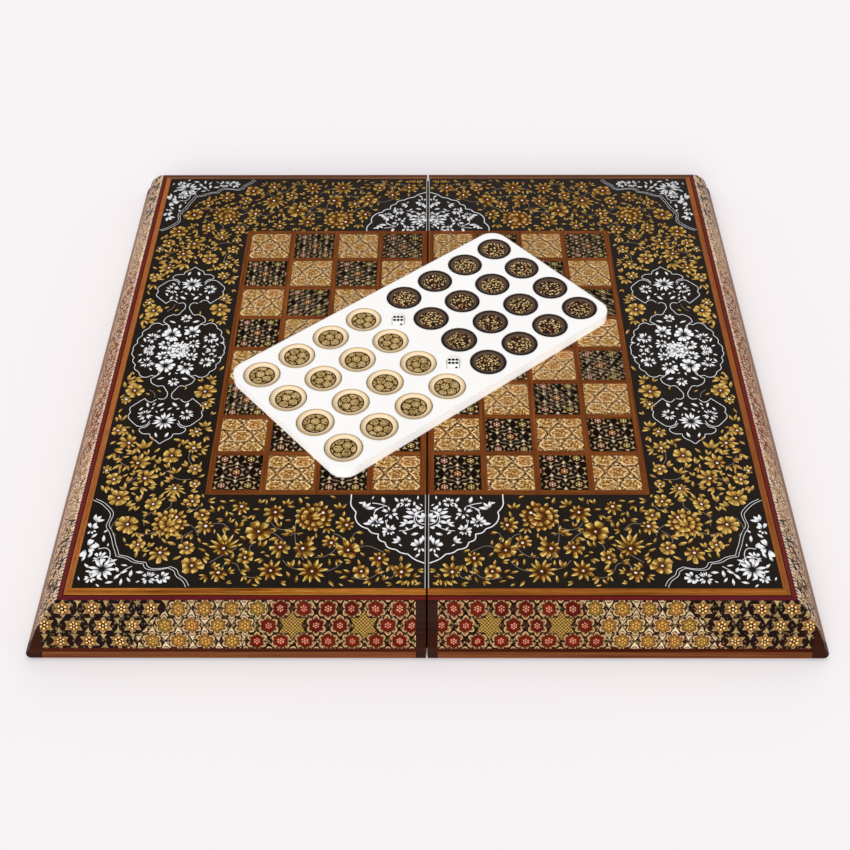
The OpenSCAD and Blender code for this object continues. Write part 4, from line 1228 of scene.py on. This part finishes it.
khatam_dark, shader, (x, y, _) = finish_of("khatam_dark", 0.34)
u, v, edge, _ = square_place(x, y)
colour = dark_khatam(x.tree, u, v)
# Painted shade darkens the dark squares towards the back
colour = (y.over(120, 130) * 0.34).colour(colour, "#2c1a08")
colour = edge.under(0.3, 0.3).colour(colour, "#140c08")
feed(shader.inputs["Base Color"], colour)
wear(khatam_dark, "left_dark_squares", "right_dark_squares")

# Playing points: tapered slices of the light khatam sheet, let into the inside of the panels, twelve to each
# half.
khatam_points, shader, (x, y, _) = finish_of("khatam_points", 0.38)
feed(shader.inputs["Base Color"], light_khatam(x.tree, x, y))
wear(khatam_points, "left_points", "right_points")

# Hinges: cast brass leaves with countersunk brass screws, on steel pins, all lightly scratched. They are
# fixed across the seam on the underside, so that the halves fold under.
scratched, (sx, sy, sz) = open_group("fine_scratches", ["X", "Y", "Z"], ["Scratch", "Stain"])
scratch = cloud(vector(sx * 0.4, sy * 6, sz * 6), 1.0, 3.0, 0.7)
close_group(scratched, Scratch=(scratch - 0.5) * 2 + 0.5, Stain=cloud(vector(sx, sy, sz), 0.25, 2.0))


def metal(name, low, high, *names):
    """A metal between two tones, given to CAD nodes."""
    material, shader, (x, y, z) = finish_of(name, metallic=1.0)
    scratch, stain = placed(scratched, x.tree, X=x, Y=y, Z=z)
    feed(shader.inputs["Base Color"], stain.colour(low, high))
    feed(shader.inputs["Roughness"], scratch.either(0.28, 0.48))
    bump(shader, scratch, 0.1, 0.05)
    wear(material, *names)


metal("brass", "#9c7a34", "#caa54e", "left_hinge_leaves", "right_hinge_leaves")
metal("screw_brass", "#8c6c30", "#b8933f", "left_hinge_screws", "right_hinge_screws")
metal("pin_steel", "#8a8a88", "#b4b4b2", "hinge_pins")

# Tray: one moulded white board with a round pocket for each checker and a square one for each die. Its
# outer wall has a faint glow as painted light, so that it hardly looks darker than the top, and its edges
# are a little round.
tray_low, tray_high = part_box("tray")
tray_middle = [round((low + high) * 500, 2) for low, high in zip(tray_low, tray_high)]
tray_top = round(tray_high[2] * 1000, 2)
tray_turn = math.radians(40.5)
tray_l, tray_w, tray_corner = 260, 135, 13


def tray_place(x, y):
    """A place along and across the tray, from the tray's middle."""
    east = x - tray_middle[0]
    north = y - tray_middle[1]
    return (east * math.cos(tray_turn) + north * math.sin(tray_turn),
            north * math.cos(tray_turn) - east * math.sin(tray_turn))


white_tray, shader, (x, y, z) = finish_of("white_tray", specular=0.2)
haze = cloud(vector(x, y, z), 0.02, 2.0)
feed(shader.inputs["Base Color"], haze.colour("#fbf9f7", "#fdfcfa"))
feed(shader.inputs["Roughness"], haze.either(0.5, 0.62))
bump(shader, cloud(vector(x, y, z), 1.2, 2.0), 0.04, 0.05)
u, v = tray_place(x, y)
past_u = (abs(u) - (tray_l / 2 - tray_corner)).math("MAXIMUM", 0)
past_v = (abs(v) - (tray_w / 2 - tray_corner)).math("MAXIMUM", 0)
outer_wall = (past_u * past_u + past_v * past_v).math("SQRT").over(tray_corner - 0.15, 0.1)
# Painted light: the outer wall glows a little
glowing_wall = outer_wall * z.under(tray_top - 0.1, 0.4)
feed(shader.inputs["Emission Color"], glowing_wall.colour("#000000", "#f4f2f2"))
shader.inputs["Emission Strength"].default_value = 0.16
soft_edge = x.tree.nodes.new("ShaderNodeBevel")
soft_edge.inputs["Radius"].default_value = 0.0015
x.tree.links.new(soft_edge.outputs[0], shader.inputs["Normal"].links[0].from_node.inputs["Normal"])
wear(white_tray, "tray")

# Checkers: turned discs with a dished top and a round slice of khatam let into the dish. Light ones are cream
# wood with a slice of round tan cells, and dark ones are ebony with a slice of bright beads.
pitch_l, pitch_w, group_gap = 31.0, 31.8, 39.3
light_slice_r, dark_slice_r = 9.4, 8.9


def checker_place(x, y):
    """A place on a checker from its own middle, and a random number for each checker."""
    tree = x.tree
    u, v = tray_place(x, y)
    near_u = (abs(u) - group_gap / 2).math("WRAP", pitch_l / 2, -pitch_l / 2)
    near_v = v.math("WRAP", pitch_w, 0) - pitch_w / 2
    odd = tree.nodes.new("ShaderNodeTexWhiteNoise")
    odd.noise_dimensions = "2D"
    feed(odd.inputs["Vector"], vector(((abs(u) - near_u) / pitch_l).math("ROUND"),
                                      ((v - near_v) / pitch_w).math("ROUND"), 0))
    return near_u, near_v, (near_u * near_u + near_v * near_v).math("SQRT"), Wire(tree, odd.outputs["Value"])


light_checker, shader, (x, y, z) = finish_of("light_checker_wood")
tree = x.tree
near_u, near_v, radius, odd = checker_place(x, y)
turn = odd * 2 * math.pi
turned_u = near_u * turn.math("COSINE") - near_v * turn.math("SINE")
turned_v = near_u * turn.math("SINE") + near_v * turn.math("COSINE")
streak, fleck, _ = placed(grain, tree, Along=near_u, Across=near_v, Deep=z + odd * 90)
body = streak.colour("#d8bb90", "#e8cca6")
body = (fleck.under(0.35, 0.2) * 0.25).colour(body, "#c8a86c")
# Painted highlight on the inner part of the dish's slope, and painted shade round the outer edge by the
# pocket
body = radius.between(light_slice_r, 11.4, 0.8).colour(body, "#efdab8")
body = radius.over(12.3, 0.3).colour(body, "#ae9468")
turned_u = turned_u + odd * 46 + (cloud(vector(near_u, near_v, odd * 70), 0.3) - 0.5) * 2
dx, dy, _, _, hue, tone = placed(khatam, tree, U=turned_u, V=turned_v + odd * 23, Pitch=6.8, Row=5.9)
_, cell_radius, _ = placed(star, tree, X=dx, Y=dy, Tips=6, Outer=3, Inner=2)
ring = placed(beads, tree, X=dx, Y=dy, Count=6, Ring=1.35)
speck = cloud(vector(near_u, near_v, odd * 40), 0.7, 2.0)
disc = hue.colour("#846a3c", "#ac8c54")
disc = (tone.over(0.6, 0.2) * 0.5).colour(disc, "#7e6c2c")
disc = cell_radius.between(2.3, 2.8, 0.3).colour(disc, "#c8a870")
disc = (ring.math("MINIMUM", cell_radius).under(0.5, 0.3) * tone.over(0.4, 0.2)).colour(disc, "#e0c48c")
disc = (speck.under(0.43, 0.1) * 0.6).colour(disc, "#4c300e")
disc = (speck.over(0.6, 0.1) * 0.4).colour(disc, "#f0d8a4")
disc = cell_radius.over(3.15, 0.3).colour(disc, "#3a200a")
disc = radius.over(8.5, 0.3).colour(disc, "#3e240c")
colour = radius.under(light_slice_r, 0.15).colour(body, disc)
feed(shader.inputs["Base Color"], colour)
feed(shader.inputs["Roughness"], fleck.either(0.4, 0.3))
wear(light_checker, *(f"light_checker_{i:02d}" for i in range(1, 17)))

dark_checker, shader, (x, y, z) = finish_of("dark_checker_wood", specular=0.05)
near_u, near_v, radius, odd = checker_place(x, y)
streak, fleck, _ = placed(grain, x.tree, Along=near_u, Across=near_v, Deep=z + odd * 90)
body = streak.colour("#261a13", "#3c2b21")
# Painted highlight on the dish's slope, and painted shade round the outer edge by the pocket
body = radius.between(9.2, 11.0, 0.8).colour(body, "#5a483c")
body = radius.over(12.2, 0.3).colour(body, "#0e0a09")
beading, bead_tone = cells(vector(near_u, near_v, odd * 60), 0.6)
hue = cloud(vector(near_u, near_v, odd * 80), 0.2, 1.0)
disc = bead_tone.colour("#f6dca0", "#a8702c")
disc = bead_tone.over(0.82, 0.1).colour(disc, "#7c2a14")
disc = (hue.under(0.4, 0.1) * 0.5).colour(disc, "#b4a050")
disc = beading.over(0.42, 0.1).colour(disc, "#241006")
colour = radius.under(dark_slice_r, 0.15).colour(body, disc)
feed(shader.inputs["Base Color"], colour)
feed(shader.inputs["Roughness"], fleck.either(0.36, 0.26))
wear(dark_checker, *(f"dark_checker_{i:02d}" for i in range(1, 17)))

# Dice: moulded white cubes with rounded corners, with the pips drilled and filled black. What is deeper than
# the flat faces and the rounding is a pip, and so are the six places on top.
die_1_middle, die_2_middle = ([(low + high) * 500 for low, high in zip(*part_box(name))]
                              for name in ("die_1", "die_2"))
die_w, die_rounding = 8.6, 1.47
pip_row, pip_step, pip_r, pip_depth = die_w * 0.2, die_w * 0.31, 1.2, 0.3
die_white, shader, (x, y, z) = finish_of("die_white")
_, v = tray_place(x, y)
is_die_2 = v.over(0, 0.01)
die_x = x - is_die_2.either(die_1_middle[0], die_2_middle[0])
die_y = y - is_die_2.either(die_1_middle[1], die_2_middle[1])
die_z = z - die_1_middle[2]
furthest = abs(die_x).math("MAXIMUM", abs(die_y)).math("MAXIMUM", abs(die_z))
inside_faces = furthest.under(die_w / 2 - 0.05, 0.04)
from_middle = (die_x * die_x + die_y * die_y + die_z * die_z).math("SQRT")
inside_rounding = from_middle.under(die_w / 2 * die_rounding - 0.06, 0.04)
six_x = die_x.math("WRAP", pip_step / 2, -pip_step / 2)
six_y = abs(die_y) - pip_row
top_pips = (six_x * six_x + six_y * six_y).math("SQRT").under(pip_r, 0.1)
top_pips = top_pips * die_z.over(die_w / 2 - pip_depth, 0.02) * abs(die_x).under(4, 0.1)
haze = cloud(vector(x, y, z), 0.3, 2.0)
white = haze.colour("#f0eee9", "#f5f3ef")
colour = (inside_faces * inside_rounding).math("MAXIMUM", top_pips).colour(white, "#060505")
feed(shader.inputs["Base Color"], colour)
feed(shader.inputs["Roughness"], haze.either(0.25, 0.4))
wear(die_white, "die_1", "die_2")
